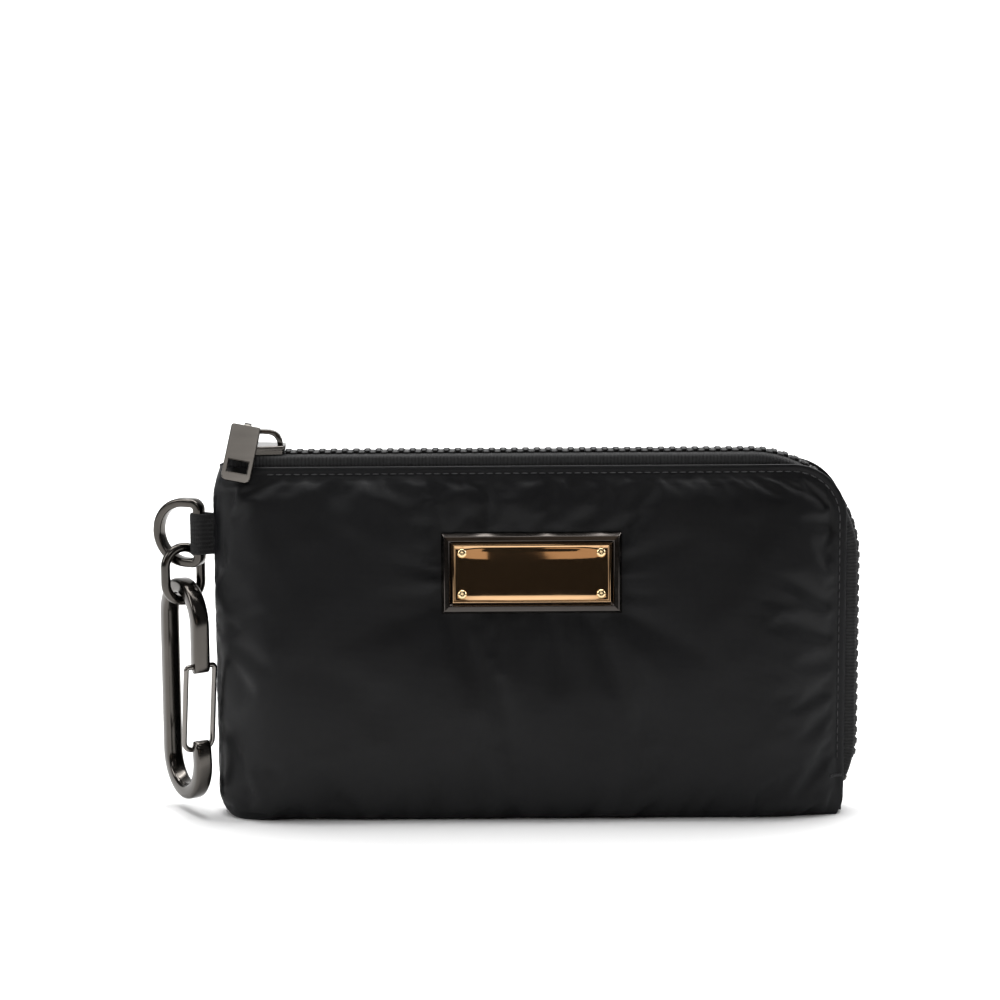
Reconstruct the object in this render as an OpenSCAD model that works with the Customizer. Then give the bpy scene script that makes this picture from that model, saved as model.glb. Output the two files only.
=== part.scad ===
// Zippered pouch: an L-zip nylon pouch with a plaque, a pull, and a D-ring that carries a link and
// a wire-gate carabiner. Units are millimetres. +X is the viewer's right, -Y the front, +Z up.
// Origin: the middle of the whole assembly's box in X and Y, at the floor in Z.

/* [Bag] */
// X of the left seam
left_x = -90.5; // [-95:0.5:-85]
// X of the right panel edge, where the fabric folds in beside the zip
fold_x = 105.5; // [100:0.5:110]
// Z of the top panel edge, where the fabric folds in beside the zip
fold_z = 111.5; // [105:0.5:118]
// Radius of the panel's top right corner
fold_corner_r = 17; // [14:0.5:20]
// Half depth of the bag along the fold
fold_half = 6.9; // [6.7:0.1:8]
// Half depth at the fullest height
full_half = 14.5; // [12:0.5:18]
// Height of the fullest section
full_z = 38; // [30:1:45]
// Half depth of the flat base
base_half = 9; // [7.5:0.5:11]
// Height at which the base curve meets the wall
base_rise = 8; // [6:0.5:11]
// Half depth where the base curve meets the wall
rise_half = 12.8; // [11.5:0.1:14]
// Drop from the top fold to the start of the straight slope that carries the plaque
slope_drop0 = 53.5; // [50:0.5:58]
// Drop from the top fold to the end of the straight slope
slope_drop1 = 11.5; // [8:0.5:14]
// Fall of the half depth per millimetre of height on the straight slope
slope = 0.1; // [0.05:0.01:0.14]
// Width of the band beside the right fold where the panel rounds down
right_round = 30; // [22:1:40]

/* [Layers] */
// Thickness of the outer nylon
nylon_t = 0.8; // [0.5:0.1:1.2]
// Thickness of the padded interlining
foam_t = 1.2; // [0.8:0.1:1.8]
// Thickness of the lining
lining_t = 0.4; // [0.3:0.1:0.7]
// Gap between two layers that lie on each other
layer_gap = 0.05; // [0.03:0.01:0.1]
// Room kept between nylon and interlining for the zip tape and the backing plate
pocket_t = 0.6; // [0.5:0.05:0.9]
// Half gap between the front and back layers at the seams
seam_gap = 0.05; // [0.03:0.01:0.1]

/* [Zip] */
// Distance between two teeth of one row
tooth_pitch = 3.5; // [3:0.1:4]
// Thickness of a tooth across the tape
tooth_t = 2.6; // [2:0.1:3]
// Y of the outer end of a closed tooth
tooth_out = 2.9; // [2.5:0.1:3.2]
// How far a tooth head crosses the middle when closed
tooth_cross = 0.7; // [0.5:0.05:0.9]
// Width of a tooth's foot along the zip
tooth_foot = 2.2; // [1.8:0.1:2.5]
// Width of a tooth's head along the zip
tooth_head = 1.6; // [1.2:0.05:1.65]
// Height of the tooth line above the top fold
zip_rise = 3.2; // [3:0.1:4]
// Distance of the tooth line outside the right fold
zip_out = 3.6; // [3.2:0.1:4.2]
// Radius of the zip's top right corner
zip_corner_r = 33; // [28:1:38]
// Radius of the zip's inward bend near the floor
zip_tail_r = 30; // [25:1:40]
// Angle of that inward bend
zip_tail_angle = 28; // [15:1:32]
// Height where the inward bend starts
zip_tail_z = 24; // [20:1:30]
// Distance of the first tooth from the left seam
zip_start_in = 7.9; // [6.5:0.1:10]
// Thickness of the zip tape
tape_t = 0.45; // [0.3:0.05:0.5]
// Width of tape hidden behind the panel, measured from the tooth line
tape_depth = 7.5; // [6:0.5:8]

/* [Slider] */
// Distance of the closed slider's left end from the left seam
slider_in = 7.5; // [6.5:0.1:10]
// Length of the slider
slider_l = 15.5; // [13:0.5:18]
// Half width of the slider at its wide left end
slider_half = 5.15; // [4.9:0.05:5.3]
// Thickness of the slider's plates
slider_t = 1.5; // [1.2:0.1:1.6]
// Thickness of the slider's side flanges
flange_t = 0.7; // [0.5:0.05:0.75]
// Clearance between the slider and the teeth
slider_clear = 0.15; // [0.1:0.05:0.3]
// Half slot left between the flanges for the tape
tape_slot = 0.5; // [0.4:0.05:0.6]
// Width of the bridge strip
bridge_w = 2.0; // [1.6:0.1:2.2]
// Thickness of the bridge strip
bridge_t = 1.2; // [1:0.1:1.3]

/* [Pull] */
// Width of the pull
pull_w = 9.2; // [8:0.2:10]
// Length of the pull's plate
pull_l = 16; // [14:0.5:18]
// Thickness of the pull's plate
pull_t = 1.6; // [1.2:0.1:2]
// Radius of the hole in the pull's eye
eye_r = 1.6; // [1.5:0.05:1.9]
// Wall of the pull's eye
eye_wall = 1.0; // [0.8:0.1:1.2]
// Width of the eye along the bridge
eye_w = 2.2; // [2:0.1:2.6]
// Distance from the eye's axis to the back of the plate
pull_off = 3.2; // [3:0.1:3.6]
// Distance from the eye's axis down to the top of the plate
pull_drop = 1.0; // [0.6:0.1:1.4]
// Forward lean of the pull at rest
pull_lean = 22; // [20:1:30]
// Sideways lean of the pull at rest
pull_tilt = 11; // [0:1:12]
// Distance of the eye from the slider's left end
eye_in = 3.5; // [3.4:0.1:5]

/* [Side ring and link] */
// Distance outside the left seam of the bar that the D-ring turns about
ring_out = 4.5; // [3.5:0.1:6.5]
// Drop from the top fold to the D-ring's middle
ring_drop = 21.65; // [17:0.05:26]
// Outer radius of the D-ring's bow, half its height
ring_r = 10.85; // [9.5:0.05:12]
// Thickness of the D-ring in its own plane
ring_t = 2.7; // [2.2:0.1:3]
// Width of the D-ring's band
ring_w = 3.6; // [3:0.1:4.2]
// Distance from the bar to the centre of the bow
ring_bow = 5; // [4:0.5:7]
// Backward swing of the D-ring at rest
ring_swing = 25; // [0:1:40]
// Height of the sewn loop
loop_h = 13; // [10:0.5:14]
// Thickness of the loop's webbing
loop_t = 1.5; // [1:0.1:1.8]
// Clearance of the bar in the loop
loop_clear = 0.1; // [0.05:0.05:0.2]
// Half width of the link between the middles of its bars
link_half = 6.0; // [5.2:0.1:6.5]
// Radius of the link's bar
link_bar_r = 1.5; // [1.2:0.1:1.7]
// Height of the link over its ends
link_h = 20; // [18:0.5:23]
// Clearance between the D-ring, the link and the carabiner where they hang
hang_clear = 0.15; // [0.1:0.05:0.4]
// Extra room above the D-ring's flat band, so that the link can swing on it
swing_room = 0.6; // [0.5:0.05:0.9]

/* [Carabiner] */
// Overall width of the carabiner in its own plane
hook_w = 27.4; // [24:0.2:30]
// Overall height of the carabiner
hook_h = 71; // [64:0.5:72]
// Width of the carabiner's bar in its own plane
hook_bar = 4.7; // [4:0.1:5.2]
// Thickness of the carabiner across its own plane
hook_t = 5.2; // [4.5:0.1:5.8]
// Height of the gate's pivot above the carabiner's lowest point
pivot_h = 45; // [40:0.5:48]
// Height of the nose above the carabiner's lowest point
nose_h = 21; // [18:0.5:24]
// Radius of the gate's wire
wire_r = 0.85; // [0.6:0.05:1]
// Half distance between the gate's legs
gate_half = 4.8; // [4.2:0.1:5]
// Radial clearance of the gate's ends in the body
gate_clear = 0.05; // [0.03:0.01:0.1]

/* [Plaque] */
// Width of the plaque's frame
plaque_w = 55.6; // [45:0.2:64]
// Height of the plaque's frame
plaque_h = 25; // [20:0.2:29]
// Width of the frame's rim around the plate
plaque_rim = 3.3; // [2.5:0.1:4]
// Thickness of the frame's rim
frame_t = 2.0; // [1.6:0.1:2.4]
// Thickness of the frame's floor under the plate
frame_floor_t = 0.8; // [0.6:0.1:1]
// Thickness of the plate
plate_t = 0.7; // [0.5:0.1:0.9]
// Radius of a pin's head
pin_head_r = 1.5; // [1.2:0.1:1.8]
// Radius of a pin's shank
pin_r = 0.7; // [0.5:0.05:0.9]
// Clearance of a shank in its holes
pin_clear = 0.05; // [0.03:0.01:0.1]
// Distance between the pins across
pin_span_x = 42.8; // [36:0.2:44]
// Distance between the pins up and down
pin_span_z = 12.8; // [10:0.2:13]
// X of the plaque's middle
plaque_x = 8.2; // [0:0.2:15]
// Drop from the top fold to the plaque's middle
plaque_drop = 32.5; // [30:0.5:35.5]

/* [Thread] */
// Distance between two stitches
stitch_pitch = 2.7; // [2.2:0.1:3.4]
// Length of a stitch
stitch_l = 2.0; // [1.6:0.1:2.4]
// Thickness of the thread
thread_t = 0.5; // [0.4:0.05:0.7]
// Distance of the stitching from the fold
stitch_in = 2.0; // [1.6:0.1:3]
// Distance of the first stitch from the left seam
stitch_start_in = 18.5; // [15:0.5:22]
// Height of the last stitch
stitch_end_z = 14; // [10:0.5:18]

/* [Hidden] */
$fn = 48;
slope_z0 = fold_z - slope_drop0;
slope_z1 = fold_z - slope_drop1;
slider_x = left_x + slider_in;
zip_start_x = left_x + zip_start_in;
eye_x = slider_x + eye_in;
ring_x = left_x - ring_out;
ring_z = fold_z - ring_drop;
plaque_z = fold_z - plaque_drop;
stitch_start_x = left_x + stitch_start_in;
draw_in_z = fold_z - 13.5;
foam_off = nylon_t + pocket_t + layer_gap;
lining_off = foam_off + foam_t + layer_gap;
tape_off = nylon_t + layer_gap + 0.05;
slope_start_half = slope_end_half() + slope * (slope_z1 - slope_z0);
corner_x = fold_x - fold_corner_r;
corner_z = fold_z - fold_corner_r;
tooth_z = fold_z + zip_rise;
tooth_x = fold_x + zip_out;
zip_cx = tooth_x - zip_corner_r;
zip_cz = tooth_z - zip_corner_r;
len_top = zip_cx - zip_start_x;
len_corner = zip_corner_r * PI / 2;
len_side = zip_cz - zip_tail_z;
len_tail = zip_tail_r * zip_tail_angle * PI / 180;
zip_len = len_top + len_corner + len_side + len_tail;
tooth_count = floor((zip_len - 3) / tooth_pitch);
spread_full = 2 * tooth_cross;
spread_x0 = slider_x;
spread_x1 = slider_x + 12;
plate_top = tooth_z + tooth_t / 2 + 0.3 + slider_t;
bridge_top = plate_top + 4.7;
eye_z = bridge_top - bridge_t / 2;
ring_bottom = ring_z - ring_r;
// The flat bands sit a little way up in the link's round ends
link_in_r = link_half - link_bar_r;
ring_cut = ring_w / 2 / cos(35) + 0.6;
ring_seat = link_in_r - sqrt(pow(link_in_r, 2) - pow(ring_cut, 2));
hook_seat = link_in_r - sqrt(pow(link_in_r, 2) - pow(hook_t / 2, 2));
link_top = ring_bottom + ring_t + ring_seat + hang_clear + swing_room + 2 * link_bar_r;
link_z = link_top - link_h / 2;
link_a = ring_t / 2 + loop_clear + loop_t + link_bar_r + 1.75;
link_x = ring_x - link_a * cos(ring_swing);
link_y = link_a * sin(ring_swing);
link_turn = 30;
hook_top = link_top - link_h + 2 * link_bar_r + hook_seat + hang_clear + hook_bar;
hook_z = hook_top - hook_h;
hook_r = hook_w / 2;
hook_turn = 120;
pivot_p = -hook_r + hook_bar / 2;
pivot_z = hook_z + pivot_h;
gate_end_p = -hook_r + hook_bar + wire_r + 0.15;
gate_end_z = hook_z + nose_h - 3.4;
gate_l = sqrt(pow(gate_end_p - pivot_p, 2) + pow(pivot_z - gate_end_z, 2));
gate_lean = asin((gate_end_p - pivot_p) / gate_l);
plaque_y = -half_depth(plaque_z);
plaque_lean = atan(slope);
cap_n = 5;
mid_n = 7;
right_s = [right_round, 22, 13, 5, 0];
col_n = cap_n + mid_n + 4;
row_z = [14, 24, full_z, (full_z + slope_z0) / 2, slope_z0, plaque_z, corner_z];
row_n = 5 + len(row_z) + 4;

/* Shape of the bag */

function clamp01(t) = max(0, min(1, t));

function hermite(t, a, b, ma, mb) =
    (2 * t * t * t - 3 * t * t + 1) * a + (t * t * t - 2 * t * t + t) * ma
    + (3 * t * t - 2 * t * t * t) * b + (t * t * t - t * t) * mb;

function slope_end_half() = fold_half + 2.5;

// Half depth of the bag at a height
function half_depth(z) =
    z <= full_z ? hermite((z - base_rise) / (full_z - base_rise), rise_half, full_half, 0.12 * (full_z - base_rise), 0)
    : z <= slope_z0 ? hermite((z - full_z) / (slope_z0 - full_z), full_half, slope_start_half, 0, -slope * (slope_z0 - full_z))
    : z <= slope_z1 ? slope_start_half - slope * (z - slope_z0)
    : hermite(clamp01((z - slope_z1) / (fold_z - slope_z1)), slope_end_half(), fold_half,
        -slope * (fold_z - slope_z1), -0.3 * (fold_z - slope_z1));

// Left seam, drawn in a little at the bottom corner and at the top
function seam_x(z) =
    left_x + (z < 8 ? pow(8 - z, 2) / 10 : 0) + (z > draw_in_z ? pow(min(z, fold_z) - draw_in_z, 2) / 70 : 0);

// Right panel edge, with its large corner at the top and a small one at the floor
function edge_x(z) =
    z < 6 ? fold_x - pow(6 - z, 2) / 18
    : z <= corner_z ? fold_x
    : corner_x + sqrt(max(0, pow(fold_corner_r, 2) - pow(min(z, fold_z) - corner_z, 2)));

// Length over which the left side rounds to its seam
function cap_len(half) = 6 + max(0, half - fold_half) * 2.4;

function round_down(t) = clamp01(t) * (2 - clamp01(t));

// Half depth at a place on the wall
function wall(x, z) =
    let (
        half = half_depth(z),
        cap = cap_len(half),
        in_left = clamp01((seam_x(z) + cap - x) / cap),
        left = sqrt(max(0, 1 - in_left * in_left)),
        right = fold_half + (half - fold_half) * round_down((edge_x(z) - x) / right_round)
    )
    max(seam_gap, min(half * left, right));

function wall_stretch(x, z) =
    let (
        dx = (wall(x + 0.5, z) - wall(x - 0.5, z)),
        dz = (wall(x, z + 0.5) - wall(x, z - 0.5))
    )
    sqrt(1 + dx * dx + dz * dz);

// Row of the grid: share of the half depth, half depth, height, height at the left seam
function row(j) =
    j == 0 ? [0, base_half, 0, 0.6]
    : j == 1 ? [0.5, base_half, 0, 1.7]
    : j <= 5 ? let (a = (j - 2) * 30)
        [1, base_half + (rise_half - base_half) * sin(a), base_rise * (1 - cos(a)), 3 + (j - 2) * 2]
    : j < 6 + len(row_z) ? [1, half_depth(row_z[j - 6]), row_z[j - 6], row_z[j - 6]]
    : let (z = corner_z + fold_corner_r * sin((j - 5 - len(row_z)) * 22.5)) [1, half_depth(z), z, z];

function seam_blend(i) = i == 0 ? 0 : i == 1 ? 0.6 : i == 2 ? 0.9 : 1;

// Point of the outer surface, in the back half
function skin(i, j) =
    let (
        r = row(j),
        z = r[3] + (r[2] - r[3]) * seam_blend(i),
        cap = cap_len(r[1]),
        x0 = seam_x(r[3]),
        x1 = edge_x(r[2]),
        phi = 90 * min(i, cap_n) / cap_n,
        x_mid0 = x0 + cap,
        x_mid1 = x1 - right_round,
        x = i <= cap_n ? x0 + cap * (1 - cos(phi))
            : i <= cap_n + mid_n ? x_mid0 + (x_mid1 - x_mid0) * (i - cap_n) / mid_n
            : x1 - right_s[i - cap_n - mid_n],
        half = i <= cap_n ? r[1] * sin(phi)
            : i <= cap_n + mid_n ? r[1]
            : fold_half + (r[1] - fold_half) * round_down((x1 - x) / right_round)
    )
    [x, max(seam_gap, r[0] * half), z];

function flip_y(p) = [p[0], -p[1], p[2]];

function unit(v) = v / norm(v);

function skin_normal(i, j) =
    i == 0 && j == 0 ? unit([-0.6, 0, -0.8])
    : let (
        du = i == 0 ? skin(1, j) - flip_y(skin(1, j))
            : (i == col_n ? skin(i, j) : skin(i + 1, j)) - skin(i - 1, j),
        dv = j == 0 ? skin(i, 1) - flip_y(skin(i, 1))
            : (j == row_n ? skin(i, j) : skin(i, j + 1)) - skin(i, j - 1)
    )
    unit(cross(dv, du));

function layer_point(i, j, off) = skin(i, j) - skin_normal(i, j) * off;

// Closed mesh through a row of loops; a loop runs along one face and back along the other
module tube(loops, flip) {
    n = len(loops[0]);
    half = n / 2;
    last = (len(loops) - 1) * n;
    sides = [
        for (j = [0 : len(loops) - 2])
            for (i = [0 : n - 1])
                for (t = [0, 1])
                    i < half
                        ? (t == 0 ? [j * n + i, j * n + (i + 1) % n, (j + 1) * n + (i + 1) % n]
                            : [j * n + i, (j + 1) * n + (i + 1) % n, (j + 1) * n + i])
                        : (t == 0 ? [j * n + i, j * n + (i + 1) % n, (j + 1) * n + i]
                            : [j * n + (i + 1) % n, (j + 1) * n + (i + 1) % n, (j + 1) * n + i])
    ];
    start = [
        for (i = [0 : half - 2])
            for (t = [0, 1])
                t == 0 ? [i, n - 1 - i, n - 2 - i] : [i, n - 2 - i, i + 1]
    ];
    end = [
        for (i = [0 : half - 2])
            for (t = [0, 1])
                t == 0 ? [last + i, last + n - 2 - i, last + n - 1 - i] : [last + i, last + i + 1, last + n - 2 - i]
    ];
    faces = concat(sides, start, end);
    polyhedron(
        points = [for (loop = loops) for (p = loop) p],
        faces = flip ? [for (f = faces) [f[0], f[2], f[1]]] : faces
    );
}

// One layer of one half of the bag; side is 1 at the back and -1 at the front
module layer(side, off, thick, cols, rows) {
    loops = [
        for (j = [0 : rows])
            concat(
                [for (i = [0 : cols]) layer_point(i, j, off)],
                [for (i = [cols : -1 : 0]) layer_point(i, j, off + thick)]
            )
    ];
    turned = side > 0 ? loops : [for (loop = loops) [for (p = loop) flip_y(p)]];
    tube(turned, side < 0);
}

module front_panel() {
    color("#1b1c1f") layer(-1, 0, nylon_t, col_n, row_n);
}

module back_panel() {
    color("#1b1c1f") layer(1, 0, nylon_t, col_n, row_n);
}

module front_interlining() {
    color("#3a3b3f") layer(-1, foam_off, foam_t, col_n - 1, row_n - 2);
}

module back_interlining() {
    color("#3a3b3f") layer(1, foam_off, foam_t, col_n - 1, row_n - 2);
}

module front_lining() {
    color("#2a2d33") layer(-1, lining_off, lining_t, col_n - 1, row_n - 2);
}

module back_lining() {
    color("#2a2d33") layer(1, lining_off, lining_t, col_n - 1, row_n - 2);
}

/* Zip */

// Place on the tooth line after a run of length s: x, z and the turn of its direction
function zip_at(s) =
    s <= len_top ? [zip_start_x + s, tooth_z, 0]
    : s <= len_top + len_corner ? let (a = (s - len_top) / zip_corner_r * 180 / PI)
        [zip_cx + zip_corner_r * sin(a), zip_cz + zip_corner_r * cos(a), a]
    : s <= len_top + len_corner + len_side ? [tooth_x, zip_cz - (s - len_top - len_corner), 90]
    : let (b = (s - len_top - len_corner - len_side) / zip_tail_r * 180 / PI)
        [tooth_x - zip_tail_r * (1 - cos(b)), zip_tail_z - zip_tail_r * sin(b), 90 + b];

// How far a tooth row stands apart where the slider opens it
function spread(s) =
    let (x = zip_start_x + s)
    s > len_top ? 0 : spread_full * clamp01((spread_x1 - x) / (spread_x1 - spread_x0));

// Point beside the tooth line: r outwards, y sideways
function zip_point(s, r, y) =
    let (p = zip_at(s))
    [p[0] + r * sin(p[2]), y, p[1] + r * cos(p[2])];

function tape_hidden(s, r, off) =
    let (p = zip_point(s, r, 0))
    zip_point(s, r, wall(p[0], p[2]) - off * wall_stretch(p[0], min(p[2], fold_z - 0.5)));

function tape_loop(s) =
    let (
        e = tooth_out - 1 + spread(s),
        h = tape_t / 2,
        yo = min(fold_half - nylon_t - 0.2, tape_hidden(s, -1.6, tape_off)[1]),
        yi = yo - tape_t
    )
    [
        tape_hidden(s, -tape_depth, tape_off),
        tape_hidden(s, -5, tape_off),
        tape_hidden(s, -3.4, tape_off),
        zip_point(s, -1.6, yo),
        zip_point(s, -h, yo),
        zip_point(s, h, yo - 0.3),
        zip_point(s, h, e),
        zip_point(s, -h, e),
        zip_point(s, -h, yi - 0.15),
        zip_point(s, -0.55, yi),
        zip_point(s, -1.6, yi),
        tape_hidden(s, -3.4, tape_off + tape_t),
        tape_hidden(s, -5, tape_off + tape_t),
        tape_hidden(s, -tape_depth, tape_off + tape_t)
    ];

tape_stations = concat(
    [-2.8, -1.4, 0, 2, 5, 8.5, 11.6, len_top / 4, len_top / 2, len_top - 38.7, len_top - 22.7, len_top - 11.7],
    [for (k = [0 : 8]) len_top + len_corner * k / 8],
    [for (k = [1 : 6]) len_top + len_corner + len_side * k / 6],
    [for (k = [1 : 3]) len_top + len_corner + len_side + len_tail * k / 3]
);

module zip_tape(side) {
    loops = [for (s = tape_stations) side > 0 ? tape_loop(s) : [for (p = tape_loop(s)) flip_y(p)]];
    tube(loops, side > 0);
}

module front_zip_tape() {
    color("#26272b") zip_tape(-1);
}

module back_zip_tape() {
    color("#26272b") zip_tape(1);
}

module on_zip(s) {
    p = zip_at(s);
    translate([p[0], 0, p[1]])
        rotate([0, p[2], 0])
            children();
}

module tooth(side) {
    f = tooth_foot / 2;
    g = tooth_head / 2;
    linear_extrude(tooth_t, center = true)
        polygon([
            [-f, side * tooth_out],
            [-f, side * 1.6],
            [-0.5, side * 1.4],
            [-0.5, side * 0.35],
            [-g, side * 0.15],
            [-g, -side * (tooth_cross - 0.3)],
            [-g + 0.3, -side * tooth_cross],
            [g - 0.3, -side * tooth_cross],
            [g, -side * (tooth_cross - 0.3)],
            [g, side * 0.15],
            [0.5, side * 0.35],
            [0.5, side * 1.4],
            [f, side * 1.6],
            [f, side * tooth_out]
        ]);
}

module tooth_row(side, phase) {
    for (k = [0 : tooth_count - 1]) {
        s = (k + phase) * tooth_pitch;
        on_zip(s)
            translate([0, side * spread(s), 0])
                tooth(side);
    }
}

module front_teeth() {
    color("#2b2c30") tooth_row(-1, 0);
}

module back_teeth() {
    color("#2b2c30") tooth_row(1, 0.5);
}

// A metal stop clamped on each tape edge, just past the slider
module top_stops() {
    color("#55524e")
        for (side = [-1, 1])
            translate([slider_x - 1.45, side * (tooth_out - 0.55 + spread_full), tooth_z])
                cube([1.3, 1.3, 2.4], center = true);
}

// A stop that clamps both tapes together behind the last tooth
module bottom_stop() {
    color("#55524e")
        on_zip(zip_len - 1.1)
            cube([1.8, 2 * tooth_out, 2.4], center = true);
}

module zip_end_tab() {
    color("#1b1c1f")
        translate([fold_x - 4.4, -5.2, 1.2])
            cube([3.0, 10.4, 5.3]);
}

/* Thread */

stitch_r = fold_corner_r - stitch_in;
stitch_top = corner_x - stitch_start_x;
stitch_arc = stitch_r * PI / 2;
stitch_count = floor((stitch_top + stitch_arc + corner_z - stitch_end_z) / stitch_pitch);

function stitch_at(s) =
    s <= stitch_top ? [stitch_start_x + s, fold_z - stitch_in, 0]
    : s <= stitch_top + stitch_arc ? let (a = (s - stitch_top) / stitch_r * 180 / PI)
        [corner_x + stitch_r * sin(a), corner_z + stitch_r * cos(a), a]
    : [fold_x - stitch_in, corner_z - (s - stitch_top - stitch_arc), 90];

module topstitch(side) {
    for (k = [0 : stitch_count - 1]) {
        p = stitch_at(k * stitch_pitch);
        translate([p[0], side * wall(p[0], p[1]), p[1]])
            rotate([0, p[2], 0])
                cube([stitch_l, thread_t, thread_t], center = true);
    }
}

module front_topstitch() {
    color("#8b8c90") topstitch(-1);
}

module back_topstitch() {
    color("#8b8c90") topstitch(1);
}

// A bar tack across the end of each topstitch
module bar_tacks() {
    color("#8b8c90")
        for (side = [-1, 1])
            translate([fold_x - stitch_in - 0.3, side * wall(fold_x - stitch_in, stitch_end_z - 1), stitch_end_z - 1])
                rotate([0, 0, -side * 22])
                    cube([3.2, 0.9, 0.8], center = true);
}

/* Slider */

module slider_plan(half, inset) {
    x0 = slider_x + inset;
    x1 = slider_x + slider_l - inset;
    narrow = half - 0.9;
    polygon([
        [x0, -half + 1],
        [x0 + 1, -half],
        [spread_x0 + 6, -half],
        [x1 - 1, -narrow],
        [x1, -narrow + 1],
        [x1, narrow - 1],
        [x1 - 1, narrow],
        [spread_x0 + 6, half],
        [x0 + 1, half],
        [x0, half - 1]
    ]);
}

// Room inside the slider for the two tooth rows
module slider_channel() {
    wide = tooth_out + spread_full + slider_clear;
    closed = tooth_out + slider_clear;
    polygon([
        [slider_x - 1, -wide],
        [spread_x0, -wide],
        [spread_x1, -closed],
        [slider_x + slider_l + 1, -closed],
        [slider_x + slider_l + 1, closed],
        [spread_x1, closed],
        [spread_x0, wide],
        [slider_x - 1, wide]
    ]);
}

module slider_body() {
    low = tooth_z - tooth_t / 2 - 0.3;
    high = tooth_z + tooth_t / 2 + 0.3;
    color("#6b6763")
        difference() {
            union() {
                translate([0, 0, high])
                    linear_extrude(slider_t / 2)
                        slider_plan(slider_half, 0);
                translate([0, 0, high + slider_t / 2])
                    linear_extrude(slider_t / 2)
                        slider_plan(slider_half - 0.65, 0.5);
                translate([0, 0, low - slider_t])
                    linear_extrude(slider_t)
                        slider_plan(slider_half, 0);
                difference() {
                    translate([0, 0, low])
                        linear_extrude(high - low)
                            slider_plan(slider_half, 0);
                    translate([0, 0, low - 1])
                        linear_extrude(high - low + 2)
                            slider_channel();
                    translate([slider_x - 1, -10, tooth_z - tape_slot])
                        cube([slider_l + 2, 20, 2 * tape_slot]);
                }
                // The wedge that parts the two rows
                translate([0, 0, low])
                    linear_extrude(high - low)
                        polygon([
                            [slider_x, -0.5],
                            [slider_x + 1, -0.5],
                            [slider_x + 4.4, -0.1],
                            [slider_x + 4.4, 0.1],
                            [slider_x + 1, 0.5],
                            [slider_x, 0.5]
                        ]);
            }
        }
}

// The arch that the pull hangs from
module slider_bridge() {
    z0 = plate_top;
    z1 = bridge_top;
    t = bridge_t;
    x = slider_x;
    color("#7a7672")
        rotate([90, 0, 0])
            linear_extrude(bridge_w, center = true)
                polygon([
                    [x + 0.5, z0],
                    [x + 0.5, z1 - 1.2],
                    [x + 1.6, z1],
                    [x + 7.5, z1],
                    [x + 11, z1 - 0.9],
                    [x + 13.6, z1 - 2.7],
                    [x + 14.8, z0],
                    [x + 13.3, z0],
                    [x + 12.5, z1 - 3.3],
                    [x + 10.4, z1 - 0.9 - t],
                    [x + 7.2, z1 - t],
                    [x + 1.8, z1 - t],
                    [x + 1.5, z1 - t - 0.5],
                    [x + 1.5, z0]
                ]);
}

module pull_tab() {
    color("#8a8580")
        translate([eye_x, 0, eye_z])
            rotate([-pull_lean, 0, 0])
                rotate([0, pull_tilt, 0])
                    difference() {
                        union() {
                            rotate([0, 90, 0])
                                cylinder(r = eye_r + eye_wall, h = eye_w, center = true);
                            translate([-eye_w / 2, -pull_off - 0.2, -2.4])
                                cube([eye_w, pull_off - 0.9, 3.6]);
                            translate([-pull_w / 2, -pull_off - pull_t, 1.2 - pull_drop - pull_l])
                                cube([pull_w, pull_t, pull_l - 1.2]);
                            translate([-pull_w / 2 + 1.2, -pull_off - pull_t, -pull_drop - pull_l])
                                cube([pull_w - 2.4, pull_t, 2]);
                        }
                        rotate([0, 90, 0])
                            cylinder(r = eye_r, h = eye_w + 1, center = true);
                        translate([0, -pull_off - pull_t / 2, 4.6 - pull_drop - pull_l])
                            cube([6.2, pull_t + 1, 3.8], center = true);
                    }
}

/* Side ring, link and carabiner */

module side_loop() {
    r = ring_t / 2 + loop_clear;
    color("#17181a")
        translate([ring_x, 0, ring_z])
            difference() {
                union() {
                    cylinder(r = r + loop_t, h = loop_h, center = true);
                    translate([0, -1, -loop_h / 2])
                        cube([left_x + 0.7 - ring_x, 2, loop_h]);
                }
                cylinder(r = r, h = loop_h + 2, center = true);
            }
}

module ring_outline(r, x0) {
    translate([ring_bow, 0])
        intersection() {
            circle(r);
            translate([-0.01, -r])
                square([r + 0.01, 2 * r]);
        }
    translate([x0, -r])
        square([ring_bow - x0, 2 * r]);
}

module d_ring() {
    color("#8a8580")
        translate([ring_x, 0, ring_z])
            rotate([0, 0, 180 - ring_swing]) {
                rotate([90, 0, 0])
                    linear_extrude(ring_w, center = true)
                        difference() {
                            ring_outline(ring_r, -ring_t / 2);
                            ring_outline(ring_r - ring_t, -ring_t);
                        }
                cylinder(r = ring_t / 2, h = 2 * (ring_r - ring_t / 2), center = true);
            }
}

module link_bend() {
    rotate([90, 0, 0])
        rotate_extrude(angle = 180)
            translate([link_half, 0])
                circle(link_bar_r);
}

module chain_link() {
    straight = link_h - 2 * (link_half + link_bar_r);
    color("#8a8580")
        translate([link_x, link_y, link_z])
            rotate([0, 0, link_turn]) {
                translate([0, 0, straight / 2])
                    link_bend();
                translate([0, 0, -straight / 2])
                    rotate([0, 180, 0])
                        link_bend();
                for (side = [-1, 1])
                    translate([side * link_half, 0, 0])
                        cylinder(r = link_bar_r, h = straight, center = true);
            }
}

module in_hook_plane() {
    translate([link_x, link_y, 0])
        rotate([0, 0, hook_turn])
            children();
}

module stadium(r) {
    for (z = [hook_z + hook_r, hook_z + hook_h - hook_r])
        translate([0, z])
            circle(r);
    translate([-r, hook_z + hook_r])
        square([2 * r, hook_h - 2 * hook_r]);
}

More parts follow.
